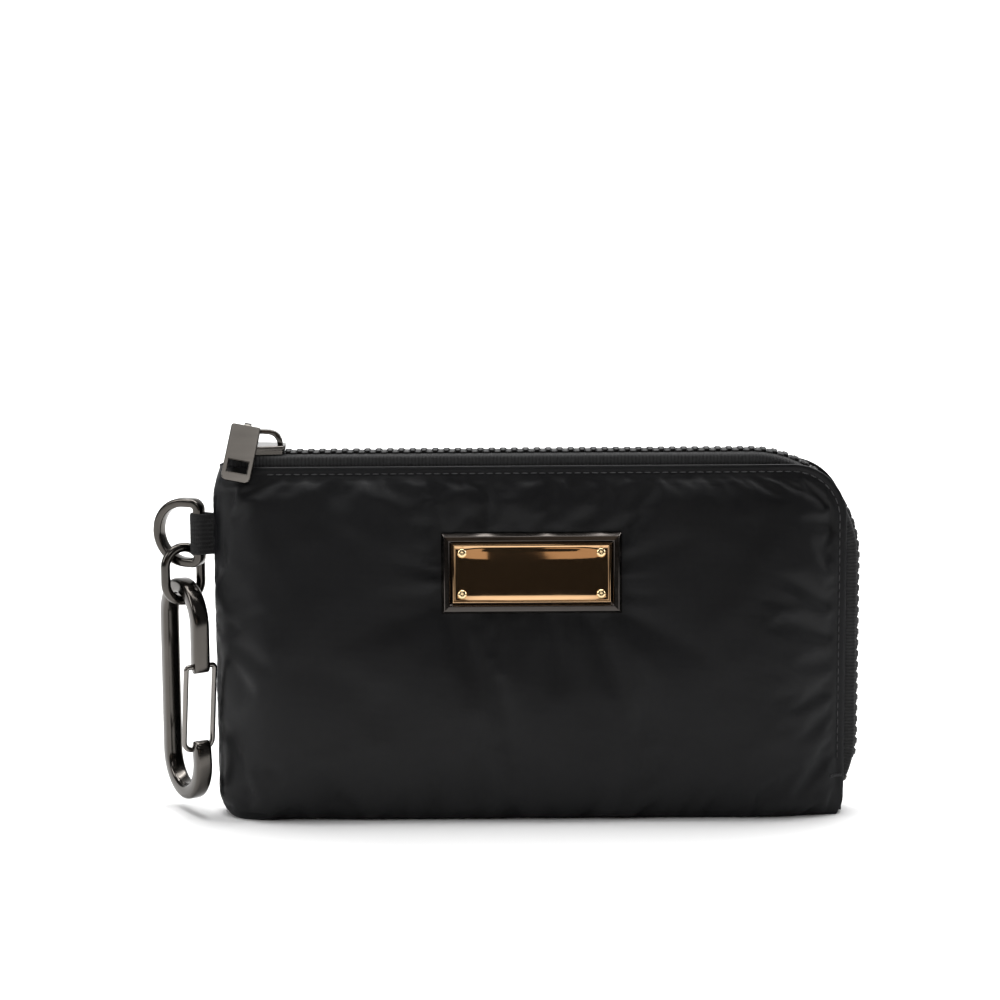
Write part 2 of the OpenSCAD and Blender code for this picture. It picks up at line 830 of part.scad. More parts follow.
module carabiner_body() {
    inner = hook_r - hook_bar;
    half = hook_bar / 2;
    color("#8f8b86")
        in_hook_plane()
            difference() {
                rotate([90, 0, 0])
                    linear_extrude(hook_t, center = true) {
                        difference() {
                            stadium(hook_r);
                            stadium(inner);
                            translate([-hook_r - 1, hook_z + nose_h - half])
                                square([hook_bar + 2, pivot_h - nose_h + half]);
                        }
                        // Rounded end that holds the gate
                        translate([-hook_r + half, pivot_z])
                            circle(half);
                        // Rounded nose
                        translate([-hook_r + half, hook_z + nose_h - half])
                            circle(half);
                    }
                translate([pivot_p, 0, pivot_z])
                    rotate([90, 0, 0])
                        cylinder(r = wire_r + gate_clear, h = hook_t + 2, center = true);
            }
}

module gate_corner() {
    rotate([0, 90, 0])
        rotate_extrude(angle = 90)
            translate([3, 0])
                circle(wire_r);
}

module carabiner_gate() {
    color("#a39e98")
        in_hook_plane()
            translate([pivot_p, 0, pivot_z])
                rotate([0, -gate_lean, 0]) {
                    rotate([90, 0, 0])
                        cylinder(r = wire_r, h = 2 * gate_half, center = true);
                    for (side = [-1, 1]) {
                        translate([0, side * gate_half, 0])
                            sphere(wire_r);
                        translate([0, side * gate_half, -gate_l + 3])
                            cylinder(r = wire_r, h = gate_l - 3);
                    }
                    translate([0, gate_half - 3, -gate_l + 3])
                        gate_corner();
                    mirror([0, 1, 0])
                        translate([0, gate_half - 3, -gate_l + 3])
                            gate_corner();
                    translate([0, 0, -gate_l])
                        rotate([90, 0, 0])
                            cylinder(r = wire_r, h = 2 * (gate_half - 3), center = true);
                }
}

/* Plaque */

module on_plaque() {
    translate([plaque_x, plaque_y, plaque_z])
        rotate([-plaque_lean, 0, 0])
            rotate([90, 0, 0])
                children();
}

module at_pins() {
    for (sx = [-1, 1])
        for (sz = [-1, 1])
            translate([sx * pin_span_x / 2, sz * pin_span_z / 2, 0])
                children();
}

module plaque_frame() {
    w = plaque_w - 2 * plaque_rim;
    h = plaque_h - 2 * plaque_rim;
    color("#4a4846")
        on_plaque()
            translate([0, 0, layer_gap])
                difference() {
                    union() {
                        translate([-plaque_w / 2, -plaque_h / 2, 0])
                            cube([plaque_w, plaque_h, frame_t / 2]);
                        translate([-plaque_w / 2 + 1, -plaque_h / 2 + 1, 0])
                            cube([plaque_w - 2, plaque_h - 2, frame_t]);
                    }
                    translate([-w / 2, -h / 2, frame_floor_t])
                        cube([w, h, frame_t]);
                    at_pins()
                        translate([0, 0, -1])
                            cylinder(r = pin_r + pin_clear, h = frame_t + 2);
                }
}

module plaque_plate() {
    w = plaque_w - 2 * plaque_rim - 2 * pin_clear;
    h = plaque_h - 2 * plaque_rim - 2 * pin_clear;
    color("#b48a54")
        on_plaque()
            translate([0, 0, layer_gap + frame_floor_t + 0.02])
                difference() {
                    translate([-w / 2, -h / 2, 0])
                        cube([w, h, plate_t]);
                    at_pins()
                        translate([0, 0, -1])
                            cylinder(r = pin_r + pin_clear, h = plate_t + 2);
                }
}

module plaque_pins() {
    top = layer_gap + frame_floor_t + plate_t + 0.04;
    dome_r = 2.2;
    low = -(nylon_t + layer_gap + pocket_t - 0.1);
    color("#b48a54")
        on_plaque()
            at_pins() {
                translate([0, 0, low])
                    cylinder(r = pin_r, h = top - low + 0.2);
                intersection() {
                    translate([0, 0, top])
                        cylinder(r = pin_head_r, h = 2);
                    translate([0, 0, top + 0.7 - dome_r])
                        sphere(dome_r);
                }
            }
}

module plaque_backing_plate() {
    w = pin_span_x + 6;
    h = pin_span_z + 5;
    color("#8d9094")
        on_plaque()
            translate([0, 0, -nylon_t - layer_gap - 0.5])
                difference() {
                    translate([-w / 2, -h / 2, 0])
                        cube([w, h, 0.5]);
                    at_pins()
                        translate([0, 0, -1])
                            cylinder(r = pin_r + pin_clear, h = 3);
                }
}

front_panel();
back_panel();
front_interlining();
back_interlining();
front_lining();
back_lining();
front_zip_tape();
back_zip_tape();
front_teeth();
back_teeth();
top_stops();
bottom_stop();
zip_end_tab();
front_topstitch();
back_topstitch();
bar_tacks();
slider_body();
slider_bridge();
pull_tab();
side_loop();
d_ring();
chain_link();
carabiner_body();
carabiner_gate();
plaque_frame();
plaque_plate();
plaque_pins();
plaque_backing_plate();
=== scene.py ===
# %% [markdown]
# # A zippered nylon pouch
# This lesson dresses a small pouch in Blender. The hard model comes from CAD and is loaded as a fixed
# frame: it says where everything sits and which body each piece moves with. We build cloth, thread,
# moulded teeth and polished metal on top of it. Lengths below are in millimetres until a piece is
# finished, because that is how a bag maker thinks, and then each mesh is scaled to metres.

# %% Load the frame
import math
import random

import bmesh
import bpy
from mathutils import Matrix, Vector, noise
from mathutils.bvhtree import BVHTree


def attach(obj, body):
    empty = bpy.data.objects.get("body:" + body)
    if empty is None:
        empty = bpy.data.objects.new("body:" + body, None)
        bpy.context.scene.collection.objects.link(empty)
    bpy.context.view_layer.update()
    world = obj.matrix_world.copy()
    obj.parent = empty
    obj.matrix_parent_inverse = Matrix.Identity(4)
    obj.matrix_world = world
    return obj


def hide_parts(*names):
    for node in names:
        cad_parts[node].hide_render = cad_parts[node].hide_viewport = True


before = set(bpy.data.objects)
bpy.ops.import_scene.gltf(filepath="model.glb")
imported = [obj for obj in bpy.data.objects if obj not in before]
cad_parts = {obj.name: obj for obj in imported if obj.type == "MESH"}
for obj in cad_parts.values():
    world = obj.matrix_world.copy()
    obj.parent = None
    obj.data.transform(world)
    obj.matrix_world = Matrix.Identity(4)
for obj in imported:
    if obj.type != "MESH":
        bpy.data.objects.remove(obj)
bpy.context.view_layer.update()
MM = 0.001

# %% [markdown]
# ## Camera and light
# A pouch like this is shown on a white sweep. The camera stands far back with a long lens, a little
# above the table. Its lens is worked out from the width that it should take in at that distance.

# %% Camera
def aim(thing, target):
    """Turn a camera or lamp so that its -Z looks at the target."""
    direction = Vector(target) - thing.location
    thing.rotation_euler = direction.to_track_quat("-Z", "Y").to_euler()


camera = bpy.data.objects.new("camera", bpy.data.cameras.new("camera"))
bpy.context.collection.objects.link(camera)
bpy.context.scene.camera = camera
VIEW_DISTANCE, VIEW_HEIGHT = 0.95, math.radians(10.5)
VIEW_TARGET = Vector((-0.0014, 0.0, 0.0998))
camera.location = VIEW_TARGET + VIEW_DISTANCE * Vector((0, -math.cos(VIEW_HEIGHT), math.sin(VIEW_HEIGHT)))
aim(camera, VIEW_TARGET)
camera.rotation_euler.rotate_axis("Z", math.radians(-0.35))
SENSOR, VIEW_WIDTH = 36, 0.3106
camera.data.lens = SENSOR * VIEW_DISTANCE / VIEW_WIDTH
camera.data.clip_start, camera.data.clip_end = 0.05, 20
print("lens", round(camera.data.lens, 1), "mm")


# %% Stage helpers
def shader(name):
    """A new material, with its node tree and its Principled shader."""
    material = bpy.data.materials.new(name)
    material.use_nodes = True
    tree = material.node_tree
    return material, tree, tree.nodes["Principled BSDF"]


def plain_paint(name, grey, rough):
    """A paint of one grey, for what isn't part of the pouch."""
    material, _, face = shader(name)
    face.inputs["Base Color"].default_value = (grey, grey, grey, 1)
    face.inputs["Roughness"].default_value = rough
    return material


def stage_piece(name, bm, material):
    """Make a bmesh in metres a smooth object of the stage."""
    mesh = bpy.data.meshes.new(name)
    bm.to_mesh(mesh)
    bm.free()
    mesh.materials.append(material)
    for polygon in mesh.polygons:
        polygon.use_smooth = True
    thing = bpy.data.objects.new(name, mesh)
    bpy.context.collection.objects.link(thing)
    print(name, "faces:", len(mesh.polygons))


def edges_of(geometry):
    return [g for g in geometry if isinstance(g, bmesh.types.BMEdge)]


def verts_of(geometry):
    return [g for g in geometry if isinstance(g, bmesh.types.BMVert)]


# %% White sweep
SWEEP_BACK, SWEEP_R, WALL_HIGH = 1.3, 1.0, 2.0
sweep = bmesh.new()
bmesh.ops.create_grid(sweep, x_segments=1, y_segments=1, size=3.0)
back_edge = [e for e in sweep.edges if all(v.co.y > 2.9 for v in e.verts)]
for v in sweep.verts:
    if v.co.y > 0:
        v.co.y = SWEEP_BACK
spun = bmesh.ops.spin(
    sweep, geom=back_edge, cent=(0, SWEEP_BACK, SWEEP_R), axis=(1, 0, 0), dvec=(0, 0, 0),
    angle=math.radians(90), steps=12,
)
wall_top = bmesh.ops.extrude_edge_only(sweep, edges=edges_of(spun["geom_last"]))["geom"]
bmesh.ops.translate(sweep, vec=(0, 0, WALL_HIGH), verts=verts_of(wall_top))
bmesh.ops.recalc_face_normals(sweep, faces=sweep.faces)
stage_piece("sweep", sweep, plain_paint("sweep_paint", 0.93, 0.9))

# %% [markdown]
# ### Lamps and cards
# Polished metal shows only what is round it, so the room is part of the finish. A large box overhead
# lights the sweep, two tall boxes at the sides draw long highlights down the rings, and a small one in
# front brings the folds of the nylon out. A black card stands behind the camera, so that the plaque's
# mirror is dark in the middle, and two dim warm cards in front of it put copper in its upper corners.


# %% Soft boxes
def soft_box(name, place, target, size, power, tint=(1, 1, 1)):
    """A rectangular lamp that looks at the target."""
    lamp = bpy.data.lights.new(name, "AREA")
    lamp.shape, lamp.size, lamp.size_y = "RECTANGLE", size[0], size[1]
    lamp.energy, lamp.color = power, tint
    thing = bpy.data.objects.new(name, lamp)
    bpy.context.collection.objects.link(thing)
    thing.location = place
    aim(thing, target)


soft_box("top_box", (0.0, 0.25, 1.5), (0, 0.25, 0), (1.7, 1.0), 34)
soft_box("left_box", (-1.1, -0.35, 0.7), (0, 0, 0.06), (0.35, 0.8), 5)
soft_box("front_box", (-0.15, -1.22, 0.98), (-0.08, 0, 0.09), (0.55, 0.34), 1.5)
soft_box("right_box", (1.1, -0.2, 0.6), (0, 0, 0.06), (0.25, 0.7), 3.5)
soft_box("sweep_box", (0.0, 0.45, 1.3), (0, 1.6, 0.5), (1.8, 0.5), 30)
for side in (-1, 1):
    soft_box("warm_card", (side * 0.20, -1.2, 0.235), (0, 0, 0.08), (0.34, 0.17), 0.11, (1.0, 0.80, 0.62))
print("lamps:", len(bpy.data.lights))

# %% Room and black card
world = bpy.data.worlds.new("room")
bpy.context.scene.world = world
world.use_nodes = True
world.node_tree.nodes["Background"].inputs["Color"].default_value = (1, 1, 1, 1)
world.node_tree.nodes["Background"].inputs["Strength"].default_value = 0.10

CARD_WIDE, CARD_HIGH, CARD_Y = 2.6, 0.735, -1.32
card = bmesh.new()
bmesh.ops.create_grid(card, x_segments=1, y_segments=1, size=0.5)
bmesh.ops.scale(card, vec=(CARD_WIDE, CARD_HIGH, 1), verts=card.verts)
bmesh.ops.rotate(card, cent=(0, 0, 0), matrix=Matrix.Rotation(math.radians(90), 3, "X"), verts=card.verts)
bmesh.ops.translate(card, vec=(0, CARD_Y, CARD_HIGH / 2), verts=card.verts)
stage_piece("black_card", card, plain_paint("card_paint", 0.01, 1.0))
bpy.context.scene.view_settings.view_transform = "Standard"
bpy.context.scene.view_settings.exposure = 0.0

# %% [markdown]
# ## Finishes
# Each finish is a small node tree. The helpers here add the parts that many of them share: a noise, a
# band pattern and a bump. Every pattern reads object coordinates or a cloth's own UV map, so it
# stays on the surface when a piece moves.


# %% Node helpers
def add(tree, kind, **settings):
    """Add a node, set its properties and its sockets by name."""
    node = tree.nodes.new(kind)
    for key, value in settings.items():
        if hasattr(node, key):
            setattr(node, key, value)
        else:
            node.inputs[key.replace("_", " ")].default_value = value
    return node


def place_of(tree, uv=None):
    """The coordinates that a pattern reads: the piece's UV map, or its object space."""
    if uv:
        return add(tree, "ShaderNodeUVMap", uv_map=uv).outputs["UV"]
    return add(tree, "ShaderNodeTexCoord").outputs["Object"]


def noisy(tree, where, scale, detail=3.0, rough=0.5):
    node = add(tree, "ShaderNodeTexNoise", Scale=scale, Detail=detail, Roughness=rough)
    tree.links.new(where, node.inputs["Vector"])
    return node.outputs["Fac"]


def bands(tree, where, scale, direction="X", warp=0.0):
    node = add(tree, "ShaderNodeTexWave", wave_type="BANDS", bands_direction=direction, Scale=scale,
               Distortion=warp, Detail=1.0)
    tree.links.new(where, node.inputs["Vector"])
    return node.outputs["Fac"]


def mapped(tree, value, low, high, from_low=0.0, from_high=1.0):
    node = add(tree, "ShaderNodeMapRange")
    node.inputs["From Min"].default_value = from_low
    node.inputs["From Max"].default_value = from_high
    node.inputs["To Min"].default_value = low
    node.inputs["To Max"].default_value = high
    tree.links.new(value, node.inputs["Value"])
    return node.outputs["Result"]


def combine(tree, operation, a, b):
    node = add(tree, "ShaderNodeMath", operation=operation)
    for socket, value in zip(node.inputs, (a, b)):
        if isinstance(value, (int, float)):
            socket.default_value = value
        else:
            tree.links.new(value, socket)
    return node.outputs["Value"]


def tinted(tree, value, dark, light):
    node = add(tree, "ShaderNodeMix", data_type="RGBA")
    tree.links.new(value, node.inputs["Factor"])
    # the RGBA sockets are the ones that hold colours
    for socket in node.inputs:
        if socket.type == "RGBA":
            socket.default_value = (*(dark if socket.name == "A" else light), 1)
    return next(o for o in node.outputs if o.type == "RGBA")


def bumped(tree, shader_node, heights):
    """Chain bumps, each (height socket, strength, distance in metres)."""
    normal = None
    for height, strength, distance in heights:
        node = add(tree, "ShaderNodeBump", Strength=strength, Distance=distance)
        tree.links.new(height, node.inputs["Height"])
        if normal is not None:
            tree.links.new(normal, node.inputs["Normal"])
        normal = node.outputs["Normal"]
    tree.links.new(normal, shader_node.inputs["Normal"])


# %% [markdown]
# ### Nylon
# The shell is a tight, near-black nylon with a satin face. At arm's length the weave is only a faint
# grain, and what shows is how gloss gathers on the swells and dies in the hollows. Two thread
# directions make the grain, and two slow noises vary the gloss.


# %% Nylon
def nylon_cloth(name, uv):
    material, tree, face = shader(name)
    cloth = place_of(tree, uv)
    warp = bands(tree, cloth, 900, "X", 0.4)
    weft = bands(tree, cloth, 780, "Y", 0.4)
    weave = combine(tree, "MULTIPLY", warp, weft)
    slub = noisy(tree, cloth, 260, 4, 0.6)
    slow = noisy(tree, place_of(tree), 16, 3, 0.55)
    shade = tinted(tree, slow, (0.0006, 0.0006, 0.0009), (0.0020, 0.0022, 0.0031))
    tree.links.new(shade, face.inputs["Base Color"])
    gloss = combine(tree, "ADD", mapped(tree, slow, 0.33, 0.55, 0.3, 0.7), mapped(tree, slub, -0.04, 0.05))
    tree.links.new(gloss, face.inputs["Roughness"])
    face.inputs["Specular IOR Level"].default_value = 0.2
    face.inputs["Sheen Weight"].default_value = 0.008
    face.inputs["Sheen Roughness"].default_value = 0.45
    face.inputs["Sheen Tint"].default_value = (0.75, 0.82, 1.0, 1)
    bumped(tree, face, [(weave, 0.30, 0.00012), (slub, 0.18, 0.0003)])
    return material


nylon = nylon_cloth("nylon", "cloth")
print("nylon nodes:", len(nylon.node_tree.nodes))

# %% [markdown]
# ### Woven bands
# Zip tape and webbing are woven narrow, with ribs across and a finer thread along, so one recipe does
# for both. Coarser and paler settings of it make the lining and the padding.


# %% Zip tape, lining, padding and webbing
def ribbed_cloth(name, uv, dark, light, across, along, depth, rough=0.75, sheen=0.15):
    """A woven band: close ribs across, a finer thread along."""
    material, tree, face = shader(name)
    cloth = place_of(tree, uv)
    ribs = bands(tree, cloth, across, "X", 0.6)
    thread = bands(tree, cloth, along, "Y", 0.5)
    fuzz = noisy(tree, cloth, 700, 4, 0.65)
    pattern = combine(tree, "MULTIPLY", ribs, mapped(tree, thread, 0.55, 1.0))
    tree.links.new(tinted(tree, pattern, dark, light), face.inputs["Base Color"])
    tree.links.new(mapped(tree, fuzz, rough - 0.1, rough + 0.12), face.inputs["Roughness"])
    face.inputs["Sheen Weight"].default_value = sheen
    face.inputs["Sheen Roughness"].default_value = 0.5
    bumped(tree, face, [(pattern, 0.7, depth), (fuzz, 0.25, depth * 0.6)])
    return material


zip_cloth = ribbed_cloth(
    "zip_cloth", "cloth", (0.0015, 0.0015, 0.002), (0.009, 0.009, 0.010), 290, 700, 0.00035, 0.8, 0.03,
)
webbing = ribbed_cloth(
    "webbing", "cloth", (0.0008, 0.0008, 0.001), (0.0035, 0.0035, 0.004), 230, 500, 0.0004, 0.85, 0.01,
)
lining_cloth = ribbed_cloth(
    "lining_cloth", None, (0.02, 0.022, 0.028), (0.045, 0.048, 0.058), 600, 600, 0.0001,
)
padding_felt = ribbed_cloth(
    "padding_felt", None, (0.06, 0.06, 0.065), (0.14, 0.14, 0.15), 300, 300, 0.0004, 0.9,
)
print("woven finishes:", zip_cloth.name, webbing.name, lining_cloth.name, padding_felt.name)

# %% [markdown]
# ### Moulded plastic and thread
# The teeth are moulded on the tape in black plastic, a little mottled. The thread is grey, and its twist
# is a diagonal band pattern that works as a bump as well as a colour.


# %% Moulded teeth and thread
def moulded_plastic():
    material, tree, face = shader("moulded_teeth")
    where = place_of(tree)
    mottling = noisy(tree, where, 420, 3)
    shade = tinted(tree, mottling, (0.003, 0.003, 0.0035), (0.009, 0.009, 0.010))
    tree.links.new(shade, face.inputs["Base Color"])
    tree.links.new(mapped(tree, mottling, 0.28, 0.5), face.inputs["Roughness"])
    bumped(tree, face, [(noisy(tree, where, 1500, 2), 0.15, 0.0001)])
    return material


def sewing_thread(name, dark, light):
    material, tree, face = shader(name)
    where = place_of(tree)
    twist = bands(tree, where, 1500, "DIAGONAL", 0.3)
    tree.links.new(tinted(tree, twist, dark, light), face.inputs["Base Color"])
    tree.links.new(mapped(tree, noisy(tree, where, 900), 0.45, 0.7), face.inputs["Roughness"])
    face.inputs["Sheen Weight"].default_value = 0.05
    bumped(tree, face, [(twist, 0.8, 0.0001)])
    return material


teeth_plastic = moulded_plastic()
thread = sewing_thread("thread", (0.011, 0.011, 0.012), (0.038, 0.038, 0.041))
print("moulded and sewn:", teeth_plastic.name, thread.name)

# %% [markdown]
# ### Metal
# The fittings are zinc castings with a polished warm-grey plating. Polished does not mean perfect: a
# casting has a slow waviness that bends its highlights, hairlines from the polishing wheel, and edges
# where the plating has rubbed a little brighter. The Pointiness of the geometry finds those edges.


# %% Plated metal
def plated(name, dark, light, rough, wave=0.5, brush=0.15):
    material, tree, face = shader(name)
    where = place_of(tree)
    cloudy = noisy(tree, where, 55, 3)
    hairline = add(tree, "ShaderNodeTexNoise", Scale=900, Detail=3)
    stretch = add(tree, "ShaderNodeMapping")
    stretch.inputs["Scale"].default_value = (0.12, 1.0, 1.0)
    tree.links.new(where, stretch.inputs["Vector"])
    tree.links.new(stretch.outputs["Vector"], hairline.inputs["Vector"])
    edge = mapped(tree, add(tree, "ShaderNodeNewGeometry").outputs["Pointiness"], 0.0, 0.6, 0.5, 0.62)
    shade = combine(tree, "ADD", mapped(tree, cloudy, 0.0, 0.5), edge)
    tree.links.new(tinted(tree, shade, dark, light), face.inputs["Base Color"])
    face.inputs["Metallic"].default_value = 1.0
    tree.links.new(mapped(tree, hairline.outputs["Fac"], rough * 0.75, rough * 1.5), face.inputs["Roughness"])
    bumped(tree, face, [(cloudy, 0.12 * wave, 0.0006), (hairline.outputs["Fac"], brush * 0.12, 0.00005)])
    return material


gunmetal = plated("gunmetal", (0.045, 0.041, 0.037), (0.13, 0.12, 0.109), 0.15)
dark_gunmetal = plated("dark_gunmetal", (0.035, 0.031, 0.029), (0.13, 0.117, 0.107), 0.12)
gate_wire = plated("gate_wire", (0.10, 0.093, 0.085), (0.26, 0.243, 0.225), 0.14)
gold_mirror = plated("gold_mirror", (0.60, 0.35, 0.17), (0.90, 0.61, 0.36), 0.035, 0.25, 0.06)
gold_pin = plated("gold_pin", (0.62, 0.45, 0.24), (0.98, 0.82, 0.50), 0.11)
sheet_steel = plated("sheet_steel", (0.4, 0.4, 0.41), (0.6, 0.6, 0.6), 0.3)
print("finishes:", len(bpy.data.materials))

# %% [markdown]
# ## Making and finishing a piece
# Every piece is drawn in millimetres in a bmesh, turned and moved into place, scaled to metres, and
# then made an object that sits at the origin. One helper does that last step for all of them: it
# also names the body that the piece rides on and the CAD node that it stands for.


# %% Finish a piece
def finish_piece(name, bm, material, body, stands_for=(), place=None, sharp=35, merge=0.002, flat=0):
    """Turn a bmesh in millimetres into an object in metres that rides on a body."""
    if place is not None:
        bmesh.ops.transform(bm, matrix=place, verts=bm.verts)
    if merge:
        bmesh.ops.remove_doubles(bm, verts=bm.verts, dist=merge)
    bmesh.ops.scale(bm, vec=(MM, MM, MM), verts=bm.verts)
    bmesh.ops.recalc_face_normals(bm, faces=bm.faces)
    mesh = bpy.data.meshes.new(name)
    bm.to_mesh(mesh)
    bm.free()
    piece = bpy.data.objects.new(name, mesh)
    bpy.context.collection.objects.link(piece)
    mesh.materials.append(material)
    for polygon in mesh.polygons:
        polygon.use_smooth = True
    if sharp:
        mesh.set_sharp_from_angle(angle=math.radians(sharp))
    for polygon in mesh.polygons:
        # broad plane faces stay flat, so that only the bevels round them catch the light
        if flat and polygon.area > flat * MM * MM:
            polygon.use_smooth = False
    if stands_for:
        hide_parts(*stands_for)
    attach(piece, body)
    print(f"{name}: {len(mesh.vertices)} points")
    return piece


def solid_cloth(piece, thick, offset=-1.0, levels=0):
    """Give a cloth its thickness, and round it with a subdivision."""
    wall_maker = piece.modifiers.new("thickness", "SOLIDIFY")
    wall_maker.thickness, wall_maker.offset = thick * MM, offset
    if levels:
        smoother = piece.modifiers.new("smooth", "SUBSURF")
        smoother.levels = smoother.render_levels = levels


def face_out(piece, number, side):
    """Turn a cloth over if one of its faces looks to the wrong side."""
    if piece.data.polygons[number].normal.y * side < 0:
        piece.data.flip_normals()


# %% [markdown]
# ## The shape of the bag
# Filled, the pouch is a soft wedge: flat underneath, fullest at a third of its height, and narrow at
# the zip. The left side rounds to a turned seam. These few functions give the half depth anywhere
# on the wall, with the same sizes as the hard model, so cloth and metal meet exactly.

# %% Bag sizes
LEFT_X, FOLD_X, FOLD_Z, FOLD_R = -90.5, 105.5, 111.5, 17.0
FOLD_HALF, FULL_HALF, FULL_Z = 6.9, 14.5, 38.0
BASE_HALF, BASE_RISE, RISE_HALF = 9.0, 8.0, 12.8
SLOPE_Z0, SLOPE_Z1, SLOPE = 58.0, 100.0, 0.1
RIGHT_ROUND = 30.0
CORNER_X, CORNER_Z = FOLD_X - FOLD_R, FOLD_Z - FOLD_R
SLOPE_END = FOLD_HALF + 2.5
SLOPE_START = SLOPE_END + SLOPE * (SLOPE_Z1 - SLOPE_Z0)
print("half depth on the slope:", SLOPE_START, "to", SLOPE_END, "mm")


# %% Half depth by height
def clamp01(t):
    return max(0.0, min(1.0, t))


def hermite(t, a, b, ma, mb):
    return ((2 * t**3 - 3 * t * t + 1) * a + (t**3 - 2 * t * t + t) * ma
            + (3 * t * t - 2 * t**3) * b + (t**3 - t * t) * mb)


def half_depth(z):
    if z <= FULL_Z:
        run = FULL_Z - BASE_RISE
        return hermite((z - BASE_RISE) / run, RISE_HALF, FULL_HALF, 0.12 * run, 0)
    if z <= SLOPE_Z0:
        run = SLOPE_Z0 - FULL_Z
        return hermite((z - FULL_Z) / run, FULL_HALF, SLOPE_START, 0, -SLOPE * run)
    if z <= SLOPE_Z1:
        return SLOPE_START - SLOPE * (z - SLOPE_Z0)
    run = FOLD_Z - SLOPE_Z1
    return hermite(clamp01((z - SLOPE_Z1) / run), SLOPE_END, FOLD_HALF, -SLOPE * run, -0.3 * run)


# %% Outline and depth of the wall
def seam_x(z):
    """The left seam at a height: it comes in at the floor and at the top."""
    low = (8 - z) ** 2 / 10 if z < 8 else 0
    high = (min(z, FOLD_Z) - 98) ** 2 / 70 if z > 98 else 0
    return LEFT_X + low + high


def edge_x(z):
    """The folded edge beside the zip, at a height."""
    if z < 6:
        return FOLD_X - (6 - z) ** 2 / 18
    if z <= CORNER_Z:
        return FOLD_X
    return CORNER_X + math.sqrt(max(0.0, FOLD_R**2 - (min(z, FOLD_Z) - CORNER_Z) ** 2))


def cap_len(half):
    """How far in from the left seam the wall still rounds over."""
    return 6 + max(0.0, half - FOLD_HALF) * 2.4


def round_down(t):
    """0 to 1, steep at first and level at the end."""
    return clamp01(t) * (2 - clamp01(t))


def wall_depth(x, z):
    """Half depth of the pouch anywhere on the wall."""
    half = half_depth(max(z, BASE_RISE))
    cap = cap_len(half)
    inside = clamp01((seam_x(z) + cap - x) / cap)
    left = math.sqrt(max(0.0, 1 - inside * inside))
    right = FOLD_HALF + (half - FOLD_HALF) * round_down((edge_x(z) - x) / RIGHT_ROUND)
    return max(0.05, min(half * left, right))


print("half depth at the plaque:", round(half_depth(79), 2), "mm")

# %% [markdown]
# ### Cutting the cloth
# Each half of the shell starts as a plain grid, like the cut cloth on a table. Its columns run from the
# left seam to the zip and its rows from the bottom seam, round the base and up to the fold. The grid
# is laid on the section, and its own UV map keeps the flat cloth's millimetres for the weave.

# %% Lay a grid on the bag
CAP_COLS, MID_COLS, RIGHT_COLS = 22, 84, 34
COLS = CAP_COLS + MID_COLS + RIGHT_COLS
BASE_ROWS, ARC_ROWS, WALL_ROWS, CORNER_ROWS = 6, 8, 62, 26
ROWS = BASE_ROWS + ARC_ROWS + WALL_ROWS + CORNER_ROWS
print("cloth grid:", COLS, "by", ROWS)


def row_of(j):
    """Share of the half depth, half depth, height, and height at the left seam, of one row."""
    if j <= BASE_ROWS:
        t = j / BASE_ROWS
        return t, BASE_HALF, 0.0, 0.6 + 2.4 * t
    j -= BASE_ROWS
    if j <= ARC_ROWS:
        a = math.radians(90 * j / ARC_ROWS)
        half = BASE_HALF + (RISE_HALF - BASE_HALF) * math.sin(a)
        return 1.0, half, BASE_RISE * (1 - math.cos(a)), 3 + 6 * j / ARC_ROWS
    j -= ARC_ROWS
    if j <= WALL_ROWS:
        z = BASE_RISE + (CORNER_Z - BASE_RISE) * j / WALL_ROWS
        return 1.0, half_depth(z), z, max(z, 9 + 0.2 * j)
    z = CORNER_Z + FOLD_R * math.sin(math.radians(90 * (j - WALL_ROWS) / CORNER_ROWS))
    return 1.0, half_depth(z), z, z


def lay(i, j):
    """The point of the outer surface, in the back half, for a column and a row."""
    share, half, z_mid, z_seam = row_of(j)
    cap = cap_len(half)
    x0, x1 = seam_x(z_seam), edge_x(z_mid)
    blend = clamp01(i / (CAP_COLS * 0.6))
    z = z_seam + (z_mid - z_seam) * math.sin(math.radians(90 * blend))
    if i <= CAP_COLS:
        phi = math.radians(90 * i / CAP_COLS)
        x, here = x0 + cap * (1 - math.cos(phi)), half * math.sin(phi)
    elif i <= CAP_COLS + MID_COLS:
        t = (i - CAP_COLS) / MID_COLS
        x, here = x0 + cap + (x1 - RIGHT_ROUND - x0 - cap) * t, half
    else:
        t = (i - CAP_COLS - MID_COLS) / RIGHT_COLS
        x = x1 - RIGHT_ROUND * (1 - t) ** 1.25
        here = FOLD_HALF + (half - FOLD_HALF) * round_down((x1 - x) / RIGHT_ROUND)
    return Vector((x, max(0.05, share * here), z))


SKIN = [[lay(i, j) for i in range(COLS + 1)] for j in range(ROWS + 1)]
print("fullest row:", round(max(p.y for row in SKIN for p in row), 2), "mm")


# %% Directions square to the skin
def flip_y(p):
    """The same place on the front half."""
    return Vector((p.x, -p.y, p.z))


def skin_normal(i, j):
    across = (SKIN[j][1] - flip_y(SKIN[j][1])) if i == 0 else SKIN[j][min(i + 1, COLS)] - SKIN[j][i - 1]
    up = (SKIN[1][i] - flip_y(SKIN[1][i])) if j == 0 else SKIN[min(j + 1, ROWS)][i] - SKIN[j - 1][i]
    if i == 0 and j == 0:
        return Vector((-0.6, 0, -0.8)).normalized()
    return up.cross(across).normalized()


NORMALS = [[skin_normal(i, j) for i in range(COLS + 1)] for j in range(ROWS + 1)]
print("normals:", len(NORMALS) * len(NORMALS[0]))


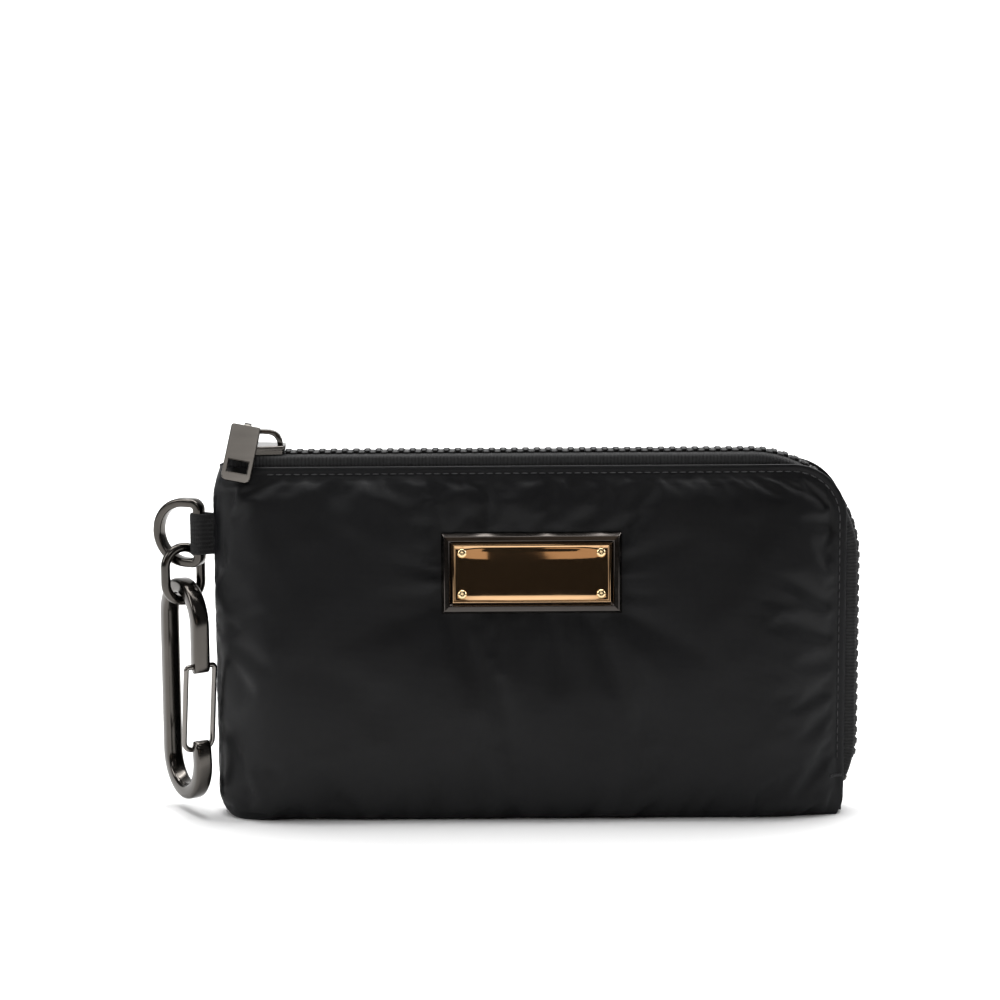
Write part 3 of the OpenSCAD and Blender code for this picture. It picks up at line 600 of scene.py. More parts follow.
def cloth_grid(point_at, cols, rows, uv_at):
    """A grid from the operator, with each point put by its column and row, and a UV map in metres."""
    bm = bmesh.new()
    bmesh.ops.create_grid(bm, x_segments=cols, y_segments=rows, size=1)
    uv = bm.loops.layers.uv.new("cloth")
    cell = {}
    for v in bm.verts:
        cell[v] = (round((v.co.x + 1) / 2 * cols), round((v.co.y + 1) / 2 * rows))
    for face in bm.faces:
        for loop in face.loops:
            loop[uv].uv = uv_at(*cell[loop.vert])
    for v, (i, j) in cell.items():
        v.co = point_at(i, j)
    bm.verts.index_update()
    return bm, cell


# %% [markdown]
# ### Letting the cloth settle
# A flat calculation looks like plastic. Real nylon is a little longer than the shape it is sewn to, so it
# swells between its seams and buckles softly where it is held: at the zip, at the corners and round
# the plaque. The cloth solver gives that. The grid is held at its seams and pins, grows by a few
# parts in a hundred, is blown out gently, and no point may then stray more than a cap. The solver
# works best on metre-sized things, so the pouch is simulated ten times too large.

# %% Where the cloth is held
PLAQUE_X, PLAQUE_Z, PLAQUE_W, PLAQUE_H = 8.2, 79.0, 55.6, 25.0


def hold_weight(x, z, i, j):
    """How firmly the cloth is held: 1 at seams, at the stitching and under the plaque."""
    near_fold = min(FOLD_Z - z, edge_x(z) - x)
    if z > CORNER_Z and x > CORNER_X:
        near_fold = FOLD_R - math.hypot(x - CORNER_X, z - CORNER_Z)
    fold = clamp01((5.0 - near_fold) / 3.0)
    seam = clamp01((3 - i) / 3)
    base = 1.0 if j <= BASE_ROWS else clamp01((BASE_ROWS + 4 - j) / 4)
    in_x = abs(x - PLAQUE_X) - PLAQUE_W / 2
    in_z = abs(z - PLAQUE_Z) - PLAQUE_H / 2
    plaque = clamp01((1.0 - max(in_x, in_z)) / 2.0)
    return max(fold, seam, base, plaque)


# %% Simulate one half of the shell
TO_SOLVER, FROM_SOLVER = 0.01, 100
SOLVER_FRAMES = 26


def settle(side, seed):
    """Shift along the normal, in millimetres, for every grid point, after the cloth has settled."""
    def skin(i, j):
        return SKIN[j][i] if side > 0 else flip_y(SKIN[j][i])

    bm, cell = cloth_grid(lambda i, j: skin(i, j) * TO_SOLVER, COLS, ROWS, lambda i, j: (0, 0))
    index = {}
    for v, key in cell.items():
        index[key] = v.index
        n = NORMALS[key[1]][key[0]]
        n = n if side > 0 else flip_y(n)
        seedling = noise.noise(Vector((v.co.x * 2.2 + seed, v.co.z * 3.0, v.co.y))) * 0.004
        v.co += n * seedling * (1 - hold_weight(v.co.x * FROM_SOLVER, v.co.z * FROM_SOLVER, *key))
    bmesh.ops.recalc_face_normals(bm, faces=bm.faces)
    mesh = bpy.data.meshes.new("settling")
    bm.to_mesh(mesh)
    bm.free()
    cloth = bpy.data.objects.new("settling", mesh)
    bpy.context.collection.objects.link(cloth)
    face_out(cloth, index[(COLS // 2, ROWS // 2)], side)
    held = cloth.vertex_groups.new(name="held")
    for (i, j), k in index.items():
        p = SKIN[j][i]
        held.add([k], hold_weight(p.x, p.z, i, j), "REPLACE")
    solver = cloth.modifiers.new("cloth", "CLOTH")
    s = solver.settings
    s.quality, s.mass, s.air_damping = 6, 0.25, 4.0
    s.tension_stiffness = s.compression_stiffness = 22
    s.shear_stiffness, s.bending_stiffness = 8, 1.1
    s.vertex_group_mass, s.pin_stiffness = "held", 1.0
    s.use_pressure, s.uniform_pressure_force = True, 0.55
    s.shrink_min = s.shrink_max = -0.022
    s.effector_weights.gravity = 0.0
    solver.collision_settings.use_collision = False
    scene = bpy.context.scene
    solver.point_cache.frame_start, solver.point_cache.frame_end = 1, SOLVER_FRAMES
    for number in range(1, SOLVER_FRAMES + 1):
        scene.frame_set(number)
    settled = cloth.evaluated_get(bpy.context.evaluated_depsgraph_get()).data
    shift = {}
    for (i, j), k in index.items():
        shift[(i, j)] = settled.vertices[k].co * FROM_SOLVER - skin(i, j)
    scene.frame_set(1)
    bpy.data.objects.remove(cloth)
    return shift


# %% Settle both halves
def capped(move, most):
    """The same move, but never longer than a cap."""
    size = move.length
    return move if size < 1e-9 else move * (most * math.tanh(size / most) / size)


shifts = {}
for side, seed in ((-1, 3.1), (1, 8.4)):
    shifts[side] = settle(side, seed)
    if shifts[side]:
        sizes = sorted(m.length for m in shifts[side].values())
        print("settled", side, "median", round(sizes[len(sizes) // 2], 2), "most", round(sizes[-1], 2), "mm")

# %% [markdown]
# ### The outer shell
# The settled cloth gets its sewing: a shallow groove under the row of stitches with a small pucker
# at each one, a few soft pulls that run down from the zip near the slider, and a hem that turns in
# over the zip tape. The hem is the grid's own edge, extruded in five short steps.

# %% Places along the fold
STITCH_IN, STITCH_PITCH = 2.0, 2.7
STITCH_R = FOLD_R - STITCH_IN


def fold_distance(x, z):
    """Distance inwards from the fold line."""
    if z > CORNER_Z and x > CORNER_X:
        return FOLD_R - math.hypot(x - CORNER_X, z - CORNER_Z)
    return min(FOLD_Z - z, edge_x(z) - x) if z > 8 else edge_x(z) - x


def along_fold(x, z):
    """Run along the fold line, for spacing puckers."""
    if z > CORNER_Z and x > CORNER_X:
        return CORNER_X + FOLD_R * math.atan2(x - CORNER_X, z - CORNER_Z)
    return x if z > CORNER_Z else CORNER_X + FOLD_R * math.pi / 2 + CORNER_Z - z


# %% Pulls in the cloth
def crease(x, z, start, end, wide, high):
    """A soft ridge along a line on the wall, fading at both ends."""
    ax, az = end[0] - start[0], end[1] - start[1]
    run = math.hypot(ax, az)
    t = ((x - start[0]) * ax + (z - start[1]) * az) / run**2
    off = ((x - start[0]) * -az + (z - start[1]) * ax) / run
    if t < -0.2 or t > 1.2:
        return 0.0
    fade = math.sin(math.pi * clamp01((t + 0.2) / 1.4)) ** 1.5
    return high * fade * math.exp(-((off / wide) ** 2))


FRONT_PULLS = [
    ((-66, 108), (-38, 88), 3.2, 0.55), ((-58, 109), (-20, 96), 2.6, 0.5), ((-40, 109), (6, 99), 2.4, 0.35),
    ((-80, 100), (-62, 66), 4.5, 0.45), ((-30, 92), (-86, 40), 7.0, 0.5), ((40, 104), (78, 84), 5.0, 0.35),
    ((84, 92), (60, 50), 6.0, 0.4), ((-70, 14), (-30, 30), 5.0, 0.4), ((60, 12), (92, 34), 5.0, 0.45),
    ((-16, 60), (40, 46), 7.0, -0.5), ((-60, 52), (-20, 24), 8.0, -0.6), ((30, 34), (84, 16), 7.0, -0.5),
]
BACK_PULLS = [
    ((-70, 106), (-44, 82), 3.5, 0.5), ((20, 106), (60, 92), 3.0, 0.4), ((-80, 30), (-30, 50), 7.0, 0.5),
    ((90, 80), (50, 40), 7.0, 0.5), ((-10, 90), (30, 40), 9.0, -0.5), ((-60, 16), (-10, 20), 5.0, 0.35),
]
print("pulls, front and back:", len(FRONT_PULLS), len(BACK_PULLS))


# %% Sewing
def sewn_offset(side, x, z, i, j):
    """Outward shift for the sewing and the pulls, in millimetres."""
    free = 1 - hold_weight(x, z, i, j)
    total = sum(crease(x, z, *pull) for pull in (FRONT_PULLS if side < 0 else BACK_PULLS)) * free
    total += free * 0.55 * noise.noise(Vector((x * 0.028 + 7 * side, z * 0.045, 1.7)))
    total += free * 0.16 * noise.noise(Vector((x * 0.09, z * 0.13 + 5 * side, 4.1)))
    if z > 9 and x > -76:
        near = fold_distance(x, z)
        run = along_fold(x, z)
        pucker = 0.75 + 0.25 * math.cos(2 * math.pi * run / STITCH_PITCH)
        total -= 0.20 * math.exp(-(((near - STITCH_IN) / 0.8) ** 2)) * pucker
        total += 0.22 * math.exp(-(((near - 0.6) / 0.9) ** 2))
        ruffle = noise.noise(Vector((run * 0.22, near * 0.2, side)))
        total += 0.12 * math.exp(-(((near - 4.6) / 1.8) ** 2)) * ruffle
    if j <= BASE_ROWS + 3 and i > 2:
        lift = 0.35 * clamp01(noise.noise(Vector((x * 0.06, 3.3 * side, 0.4))) * 1.8)
        total -= lift * clamp01((j - 1) / BASE_ROWS)
    if i < 9:
        pinch = math.exp(-((i / 4.0) ** 2))
        total += pinch * 0.35 * noise.noise(Vector((z * 0.16, side * 2.2, 9.0)))
    return total


# %% Front and back shell
MOST_SHIFT, MOST_INWARD, SEAM_GAP = 3.2, 0.7, 0.03


def shell_point(side, i, j):
    """A grid point of the sewn, settled shell."""
    p = SKIN[j][i].copy()
    n = NORMALS[j][i]
    moved = shifts[side].get((i, j))
    extra = sewn_offset(side, p.x, p.z, i, j)
    if side < 0:
        p, n = flip_y(p), flip_y(n)
    if moved is not None:
        keep = 1 - hold_weight(p.x, p.z, i, j)
        moved = capped(moved, MOST_SHIFT) * keep
        inward = moved.dot(n)
        if inward < -MOST_INWARD:
            moved -= n * (inward + MOST_INWARD)
        p = p + moved
    p = p + n * max(extra, -0.6)
    p.y = side * max(side * p.y, SEAM_GAP)
    p.z = max(p.z, 0.0)
    return p


def outward_of_fold(p):
    """The direction in the wall's plane that leads out over the fold."""
    if p.z > CORNER_Z and p.x > CORNER_X:
        return Vector((p.x - CORNER_X, 0, p.z - CORNER_Z)).normalized()
    return Vector((0, 0, 1)) if p.z > CORNER_Z else Vector((1, 0, 0))


def make_shell(side, name, node):
    """One half of the outer shell, with its hem turned in over the tape."""
    bm, cell = cloth_grid(
        lambda i, j: shell_point(side, i, j), COLS, ROWS,
        lambda i, j: (SKIN[j][i].x * MM, j * 1.35 * MM + SKIN[j][i].z * 0.2 * MM),
    )
    hem = [e for e in bm.edges if e.is_boundary and all(
        (cell[v][1] == ROWS or (cell[v][0] == COLS and cell[v][1] >= BASE_ROWS)) for v in e.verts)]
    inward = -side
    for out, turn in ((0.22, 0.22), (0.02, 0.42), (-0.24, 0.2), (-1.6, 0.05), (-3.2, -0.25)):
        new = bmesh.ops.extrude_edge_only(bm, edges=hem)["geom"]
        for v in verts_of(new):
            v.co += outward_of_fold(v.co) * out + Vector((0, inward * turn, 0))
        hem = edges_of(new)
    shell = finish_piece(name, bm, nylon, "pouch", [node], sharp=0, merge=0)
    face_out(shell, len(shell.data.polygons) // 3, side)
    solid_cloth(shell, 0.28)


make_shell(-1, "front_shell", "front_panel")
make_shell(1, "back_shell", "back_panel")

# %% [markdown]
# ### Padding and lining
# Under the nylon lie a thin padding and a smooth lining. They are hidden while the zip is shut, but
# they are real layers, so each has its own cloth on the same section, further in.


# %% Inner layers
def inner_layer(side, name, node, depth, thick, material):
    """A layer some depth below the skin, and the size that it was cut to."""
    last_col, last_row = COLS - 8, ROWS - 9

    def point(i, j):
        col, row = min(2 * i, last_col), min(2 * j, last_row)
        p = SKIN[row][col] - NORMALS[row][col] * depth
        return p if side > 0 else flip_y(p)

    wide_cells, high_cells = last_col // 2, last_row // 2
    bm, _ = cloth_grid(point, wide_cells, high_cells, lambda i, j: (i * 0.0027, j * 0.0027))
    area = sum(face.calc_area() for face in bm.faces)
    middle = high_cells // 2
    across = sum((point(i + 1, middle) - point(i, middle)).length for i in range(wide_cells))
    layer = finish_piece(name, bm, material, "pouch", [node], sharp=0)
    face_out(layer, len(layer.data.polygons) // 3, side)
    solid_cloth(layer, thick)
    return layer, (across * MM, area / across * MM)


for side, word in ((-1, "front"), (1, "back")):
    pad, _ = inner_layer(side, word + "_padding", word + "_interlining", 1.5, 1.1, padding_felt)
    lining, cut = inner_layer(
        side, word + "_lining_cloth", word + "_lining", 2.72, 0.35, lining_cloth,
    )
    print(word, "lining, cut to", [round(length, 4) for length in cut])

# %% [markdown]
# ## The zip
# A zip follows one line, so we describe that line once: a run of length `s` gives a place and a
# turn. It goes along the top, round the corner, down the side and curves in at the floor. Behind
# the slider the rows stand apart a little, because the slider's wedge parts them.

# %% The tooth line
TOOTH_PITCH, TOOTH_OUT, TOOTH_CROSS = 3.5, 2.9, 0.7
TOOTH_Z, TOOTH_X, ZIP_R = 114.7, 109.1, 33.0
TAIL_R, TAIL_ANGLE, TAIL_Z = 30.0, math.radians(28), 24.0
ZIP_START, SLIDER_X = -82.6, -83.0
ZIP_CX, ZIP_CZ = TOOTH_X - ZIP_R, TOOTH_Z - ZIP_R
LEN_TOP, LEN_CORNER = ZIP_CX - ZIP_START, ZIP_R * math.pi / 2
LEN_SIDE, LEN_TAIL = ZIP_CZ - TAIL_Z, TAIL_R * TAIL_ANGLE
ZIP_LEN = LEN_TOP + LEN_CORNER + LEN_SIDE + LEN_TAIL


def zip_at(s):
    """Place on the tooth line, and how far its direction has turned."""
    if s <= LEN_TOP:
        return ZIP_START + s, TOOTH_Z, 0.0
    s -= LEN_TOP
    if s <= LEN_CORNER:
        a = s / ZIP_R
        return ZIP_CX + ZIP_R * math.sin(a), ZIP_CZ + ZIP_R * math.cos(a), a
    s -= LEN_CORNER
    if s <= LEN_SIDE:
        return TOOTH_X, ZIP_CZ - s, math.pi / 2
    b = (s - LEN_SIDE) / TAIL_R
    return TOOTH_X - TAIL_R * (1 - math.cos(b)), TAIL_Z - TAIL_R * math.sin(b), math.pi / 2 + b


def spread(s):
    """How far a row stands aside, under the slider's wedge."""
    return 0.0 if s > LEN_TOP else 2 * TOOTH_CROSS * clamp01((SLIDER_X + 12 - ZIP_START - s) / 12)


def zip_point(s, out, y):
    """A point beside the tooth line: out is outwards, y sideways."""
    x, z, turn = zip_at(s)
    return Vector((x + out * math.sin(turn), y, z + out * math.cos(turn)))


print("zip length", round(ZIP_LEN, 1), "mm")

# %% [markdown]
# ### Tapes
# Each tape is a woven band. It lies hidden behind the shell, rises past the fold, rounds over and
# runs in to the teeth, where a cord makes its edge thicker.

# %% Zip tapes
TAPE_PROFILE = [
    (-7.4, 0), (-5.6, 0), (-4.2, 0), (-3.0, 0), (-1.9, 1), (-1.2, 1), (-0.6, 2), (-0.12, 3),
    (0.12, 4), (0.2, 5), (0.24, 6), (0.34, 7), (0.36, 8), (0.2, 9),
]
TAPE_Y = {1: 5.86, 2: 5.9, 3: 5.74, 4: 5.34, 5: 4.6, 6: 3.9, 7: 3.3, 8: 2.6, 9: 1.95}
TAPE_STEPS, TAPE_BEFORE = 300, 2.8


def tape_point(side, i, j):
    s = -TAPE_BEFORE + (ZIP_LEN + TAPE_BEFORE) * i / TAPE_STEPS
    out, place = TAPE_PROFILE[j]
    if place == 0:
        p = zip_point(s, out, 0)
        y = min(5.86, wall_depth(p.x, p.z) - 1.0 - 0.12 * clamp01((-out - 3) / 3))
    else:
        y = TAPE_Y[place]
        if place >= 6:
            y += spread(s) * (0.4 if place == 6 else 1.0)
        out += 0.05 * noise.noise(Vector((s * 0.12, place * 0.4, side * 3.0)))
    p = zip_point(s, out, max(0.3, y))
    return p if side > 0 else flip_y(p)


def make_tape(side, word):
    bm, _ = cloth_grid(
        lambda i, j: tape_point(side, i, j), TAPE_STEPS, len(TAPE_PROFILE) - 1,
        lambda i, j: (ZIP_LEN * i / TAPE_STEPS * MM, j * 1.1 * MM),
    )
    tape = finish_piece(word + "_tape", bm, zip_cloth, "pouch", [word + "_zip_tape"], sharp=0)
    face_out(tape, 5, side)
    solid_cloth(tape, 0.42)


for side, word in ((-1, "front"), (1, "back")):
    make_tape(side, word)

# %% [markdown]
# ### Teeth
# One moulded tooth is three bevelled boxes: a broad foot clamped on the tape, a thin neck, and a head
# that hooks between two heads of the other row. It's placed all along the line, and the back row
# stands half a pitch further on.


# %% Bevelled boxes
def round_edges(bm, edges, width, steps, clamp=False):
    """Bevel some edges by one width."""
    bmesh.ops.bevel(
        bm, geom=edges, offset=width, offset_type="OFFSET", affect="EDGES", segments=steps, profile=0.5,
        material=-1, clamp_overlap=clamp,
    )


def crisp_edges(edges, degrees):
    """Those edges where two faces meet at more than an angle."""
    return [e for e in edges if len(e.link_faces) == 2 and e.calc_face_angle(0) > math.radians(degrees)]


def rounded_box(bm, size, centre, bevel=0.2, steps=1):
    """A cube from the operator, sized, moved and bevelled."""
    cube = bmesh.ops.create_cube(bm, size=1)["verts"]
    bmesh.ops.scale(bm, vec=size, verts=cube)
    bmesh.ops.translate(bm, vec=centre, verts=cube)
    round_edges(bm, list({e for v in cube for e in v.link_edges}), bevel, steps)


# %% Teeth
def one_tooth():
    """A single tooth, looking to the back, as a mesh to copy."""
    bm = bmesh.new()
    rounded_box(bm, (2.2, 1.3, 2.6), (0, 2.25, 0), 0.42)
    rounded_box(bm, (1.0, 1.5, 2.3), (0, 0.95, 0), 0.15)
    rounded_box(bm, (1.6, 0.85, 2.5), (0, -0.275, 0), 0.28)
    tooth = bpy.data.meshes.new("tooth")
    bm.to_mesh(tooth)
    bm.free()
    return tooth


tooth_mesh = one_tooth()


def make_row(side, word, phase):
    """One row of teeth; phase is how far along its pitch the row starts."""
    bm = bmesh.new()
    for k in range(int((ZIP_LEN - 3) / TOOTH_PITCH)):
        s = (k + phase) * TOOTH_PITCH
        x, z, turn = zip_at(s)
        known = len(bm.verts)
        bm.from_mesh(tooth_mesh)
        bm.verts.ensure_lookup_table()
        place = (Matrix.Translation((x, side * spread(s), z)) @ Matrix.Rotation(turn, 4, "Y")
                 @ Matrix.Diagonal((1, side, 1, 1)))
        bmesh.ops.transform(bm, matrix=place, verts=bm.verts[known:])
    finish_piece(word + "_row", bm, teeth_plastic, "pouch", [word + "_teeth"], merge=0)


make_row(-1, "front", 0.0)
make_row(1, "back", 0.5)
bpy.data.meshes.remove(tooth_mesh)

# %% [markdown]
# ### Where the zip starts and ends
# Two small metal stops keep the slider from running off at the start, and a wider one closes the
# zip's low end. A folded tab of the nylon covers the raw ends of the tapes there.

# %% Stops
STOP_HIGH = 2.4
stop_y = TOOTH_OUT - 0.55 + 2 * TOOTH_CROSS
stops = bmesh.new()
for side in (-1, 1):
    rounded_box(stops, (1.3, 1.3, STOP_HIGH), (SLIDER_X - 1.45, side * stop_y, TOOTH_Z), 0.3, 2)
finish_piece("stops", stops, gunmetal, "pouch", ["top_stops"])

end_stop = bmesh.new()
rounded_box(end_stop, (1.8, 2 * TOOTH_OUT, STOP_HIGH), (0, 0, 0), 0.4, 2)
end_x, end_z, end_turn = zip_at(ZIP_LEN - 1.1)
finish_piece(
    "end_stop", end_stop, gunmetal, "pouch", ["bottom_stop"],
    Matrix.Translation((end_x, 0, end_z)) @ Matrix.Rotation(end_turn, 4, "Y"),
)

# %% End tab
TAB_X, TAB_Z, TAB_HALF, TAB_HIGH = 104.6, 0.9, 5.9, 8.4
TAB_COLS, TAB_ROWS = 12, 10


def tab_point(i, j):
    """The tab leans in as it rises, and bulges between its side edges."""
    across, up = i / TAB_COLS, j / TAB_ROWS
    bulge = 0.5 * math.cos(math.pi * (across - 0.5))
    return Vector((TAB_X - 2.6 * up**2 + bulge, -TAB_HALF + 2 * TAB_HALF * across, TAB_Z + TAB_HIGH * up))


tab, _ = cloth_grid(tab_point, TAB_COLS, TAB_ROWS, lambda i, j: (i * 0.001, j * 0.0009))
tab_piece = finish_piece("end_tab", tab, nylon, "pouch", ["zip_end_tab"], sharp=0)
solid_cloth(tab_piece, 0.7, 1.0, 1)

# %% [markdown]
# ## Thread
# Each stitch is its own little capsule of thread. To lay it on the settled cloth we look the shell up
# with a ray from the side, so a stitch sinks into its groove wherever the cloth went.

# %% Look the cloth up
trees = {}
for side, word in ((-1, "front"), (1, "back")):
    mesh = bpy.data.objects[word + "_shell"].data
    trees[side] = BVHTree.FromPolygons([v.co for v in mesh.vertices], [p.vertices[:] for p in mesh.polygons])


def on_cloth(side, x, z):
    """The shell's outer surface at a place on the wall: the point in millimetres and its normal."""
    start = Vector((x * MM, side * 0.05, z * MM))
    hit, normal, _, _ = trees[side].ray_cast(start, Vector((0, -side, 0)))
    if hit is None:
        return Vector((x, side * wall_depth(x, z), z)), Vector((0, side, 0))
    return hit / MM, normal if normal.y * side > 0 else -normal


# %% Where the stitches go
def stitch(bm, centre, along, normal, length, thick):
    """One capsule of thread, lying along a direction on a surface."""
    ball = bmesh.ops.create_uvsphere(bm, u_segments=8, v_segments=6, radius=0.5)["verts"]
    bmesh.ops.scale(bm, vec=(thick, thick, length), verts=ball)
    z_axis = along.normalized()
    y_axis = (normal - z_axis * normal.dot(z_axis)).normalized()
    x_axis = y_axis.cross(z_axis)
    turn = Matrix((x_axis, y_axis, z_axis)).transposed().to_4x4()
    bmesh.ops.transform(bm, matrix=Matrix.Translation(centre) @ turn, verts=ball)


STITCH_START_X, STITCH_END_Z = -72.0, 14
STITCH_LEN_TOP = CORNER_X - STITCH_START_X
STITCH_LEN_ARC = STITCH_R * math.pi / 2
STITCH_COUNT = int((STITCH_LEN_TOP + STITCH_LEN_ARC + CORNER_Z - STITCH_END_Z) / STITCH_PITCH)
print("stitches a side:", STITCH_COUNT)


def stitch_at(s):
    """The place on the wall of a run along the row of stitches."""
    if s <= STITCH_LEN_TOP:
        return STITCH_START_X + s, FOLD_Z - STITCH_IN
    s -= STITCH_LEN_TOP
    if s <= STITCH_LEN_ARC:
        a = s / STITCH_R
        return CORNER_X + STITCH_R * math.sin(a), CORNER_Z + STITCH_R * math.cos(a)
    return FOLD_X - STITCH_IN, CORNER_Z - (s - STITCH_LEN_ARC)


# %% Topstitching
STITCH_LEN, STITCH_THICK = 2.1, 0.38
for side, word in ((-1, "front"), (1, "back")):
    seam = bmesh.new()
    lot = random.Random(11 + side)
    for k in range(STITCH_COUNT):
        s = k * STITCH_PITCH
        ends = [on_cloth(side, *stitch_at(max(0, s + d)))[0] for d in (-0.8, 0.8)]
        centre, normal = on_cloth(side, *stitch_at(s))
        tilt = Vector((0, 0, lot.uniform(-0.08, 0.08)))
        stitch(seam, centre + normal * 0.06, ends[1] - ends[0] + tilt, normal, STITCH_LEN, STITCH_THICK)
    finish_piece(word + "_stitches", seam, thread, "pouch", [word + "_topstitch"], sharp=0, merge=0)

# %% Bar tacks
TACK_Z, TACK_STITCHES = 13.0, 8
tack = bmesh.new()
for side in (-1, 1):
    for k in range(TACK_STITCHES):
        x = FOLD_X - STITCH_IN - 1.9 + 0.46 * k
        centre, normal = on_cloth(side, x, TACK_Z)
        stitch(tack, centre + normal * 0.1, Vector((0.16, 0, 1)), normal, 1.15, 0.44)
finish_piece("tacks", tack, thread, "pouch", ["bar_tacks"], sharp=0, merge=0)

# %% [markdown]
# ## Metal fittings
# Rings, hooks and wire are all one idea: a profile that is led along a path. We do it the way a
# turtle draws. The profile is a loop of edges; "lead" extrudes it straight ahead, and "bend" spins it
# round a centre. A closed path is welded where it meets itself, and open ends are rounded off.


# %% Profiles
def round_profile(bm, radius, points=16):
    """A ring of edges, for wire."""
    ring = bmesh.ops.create_circle(bm, segments=points, radius=radius)["verts"]
    return list({e for v in ring for e in v.link_edges})


def flat_profile(bm, wide, thick, corner, steps=3):
    """A rectangle with rounded corners: wide along X, thick along Y."""
    points = 4 * (steps + 1)
    ring = bmesh.ops.create_circle(bm, segments=points, radius=1)["verts"]
    for v in ring:
        place = round(math.atan2(v.co.y, v.co.x) / math.tau * points) % points
        quarter, step = divmod(place, steps + 1)
        a = math.radians(90 * quarter + 90 * step / steps)
        sx, sy = ((1, 1), (-1, 1), (-1, -1), (1, -1))[quarter]
        middle_x, middle_y = wide / 2 - corner, thick / 2 - corner
        v.co = (sx * middle_x + corner * math.cos(a), sy * middle_y + corner * math.sin(a), 0)
    return list({e for v in ring for e in v.link_edges})


# %% Lead a profile along a path
def led_bar(profile, path, here, bend_steps=12):
    """Lead a profile along a path. `here` places it: X is the inside of the bends, Z the way ahead."""
    bm = bmesh.new()
    loop = profile(bm)
    bmesh.ops.transform(bm, matrix=here, verts=bm.verts)
    for move in path:
        x_axis, y_axis, z_axis = (here.col[k].to_3d() for k in range(3))
        if move[0] == "lead":
            new = bmesh.ops.extrude_edge_only(bm, edges=loop)["geom"]
            bmesh.ops.translate(bm, vec=z_axis * move[1], verts=verts_of(new))
            here = Matrix.Translation(z_axis * move[1]) @ here
            loop = edges_of(new)
        else:
            angle, radius = math.radians(move[1]), move[2]
            centre = here.translation + x_axis * radius
            steps = max(2, round(bend_steps * abs(move[1]) / 90))
            turned = bmesh.ops.spin(
                bm, geom=loop, cent=centre, axis=y_axis, dvec=(0, 0, 0), angle=angle, steps=steps,
            )
            turn = Matrix.Translation(centre) @ Matrix.Rotation(angle, 4, y_axis)
            here = turn @ Matrix.Translation(-centre) @ here
            loop = edges_of(turned["geom_last"])
    return bm


# %% Ends of a bar
def boundary_loops(bm):
    """The open ends of a bar, each a list of edges."""
    left, loops = {e for e in bm.edges if e.is_boundary}, []
    while left:
        front, found = [left.pop()], []
        while front:
            edge = front.pop()
            found.append(edge)
            near = {e for v in edge.verts for e in v.link_edges if e in left}
            left -= near
            front += list(near)
        loops.append(found)
    return loops


def round_end(bm, edges, ahead, wide_axis, depth, steps=4):
    """Close an open end with a rounded nose that narrows across the bar's width."""
    verts = {v for e in edges for v in e.verts}
    centre = sum((v.co for v in verts), Vector()) / len(verts)
    last = 0.0
    for k in range(1, steps + 1):
        a = math.radians(84 * k / steps)
        new = bmesh.ops.extrude_edge_only(bm, edges=edges)["geom"]
        for v in verts_of(new):
            off = v.co - centre
            across = off.dot(wide_axis)
            v.co -= wide_axis * across * (1 - math.cos(a) / math.cos(last))
            v.co += ahead * depth * (math.sin(a) - math.sin(last))
            thin = off - wide_axis * across - ahead * off.dot(ahead)
            v.co -= thin * 0.05 * k / steps
        edges, last = edges_of(new), a
    bmesh.ops.edgeloop_fill(bm, edges=edges)


# %% [markdown]
# ### D-ring
# The ring is a flat band, not wire: a straight bar for the loop to hold, two tight corners, and a half
# round bow. It hangs turned a little away from the pouch.

# %% D-ring
RING_X, RING_Z, RING_R, RING_T, RING_W, RING_BOW = -95.0, 89.85, 10.85, 2.7, 4.0, 5.0
RING_TURN = Matrix.Translation((RING_X, 0, RING_Z)) @ Matrix.Rotation(math.radians(155), 4, "Z")
BOW_R, CORNER_R = RING_R - RING_T / 2, 2.2
d_ring = led_bar(
    lambda bm: flat_profile(bm, RING_T, RING_W, 0.7),
    [("lead", 2 * BOW_R - 2 * CORNER_R), ("bend", 90, CORNER_R), ("lead", RING_BOW - CORNER_R),
     ("bend", 180, BOW_R), ("lead", RING_BOW - CORNER_R), ("bend", 90, CORNER_R)],
    RING_TURN @ Matrix.Translation((0, 0, CORNER_R - BOW_R)),
)
finish_piece("side_ring", d_ring, gunmetal, "ring", ["d_ring"], sharp=40, merge=0.02)

# %% [markdown]
# ### Link
# One oval link of round wire joins the ring to the carabiner. It is four moves of the turtle: two
# straights and two half turns.

# %% Link
LINK_X, LINK_Y, LINK_TOP = -100.619, 2.620, 86.425
LINK_BAR, LINK_HALF, LINK_H = 1.5, 6.0, 20.0
W_TURN = Matrix.Rotation(math.radians(30), 4, "Z")
straight = LINK_H - 2 * (LINK_HALF + LINK_BAR)
start = (Matrix.Translation((LINK_X, LINK_Y, LINK_TOP - LINK_H / 2 - straight / 2)) @ W_TURN
         @ Matrix.Translation((-LINK_HALF, 0, 0)))
chain_link = led_bar(
    lambda bm: round_profile(bm, LINK_BAR),
    [("lead", straight), ("bend", 180, LINK_HALF), ("lead", straight), ("bend", 180, LINK_HALF)],
    start, 14,
)
finish_piece("link", chain_link, gunmetal, "link", ["chain_link"], sharp=0, merge=0.02)

# %% [markdown]
# ### Carabiner
# The body is a long hook of flat bar, open on one side between its nose and the gate's pivot. Both
# open ends are rounded, and the nose thins a little towards its tip.

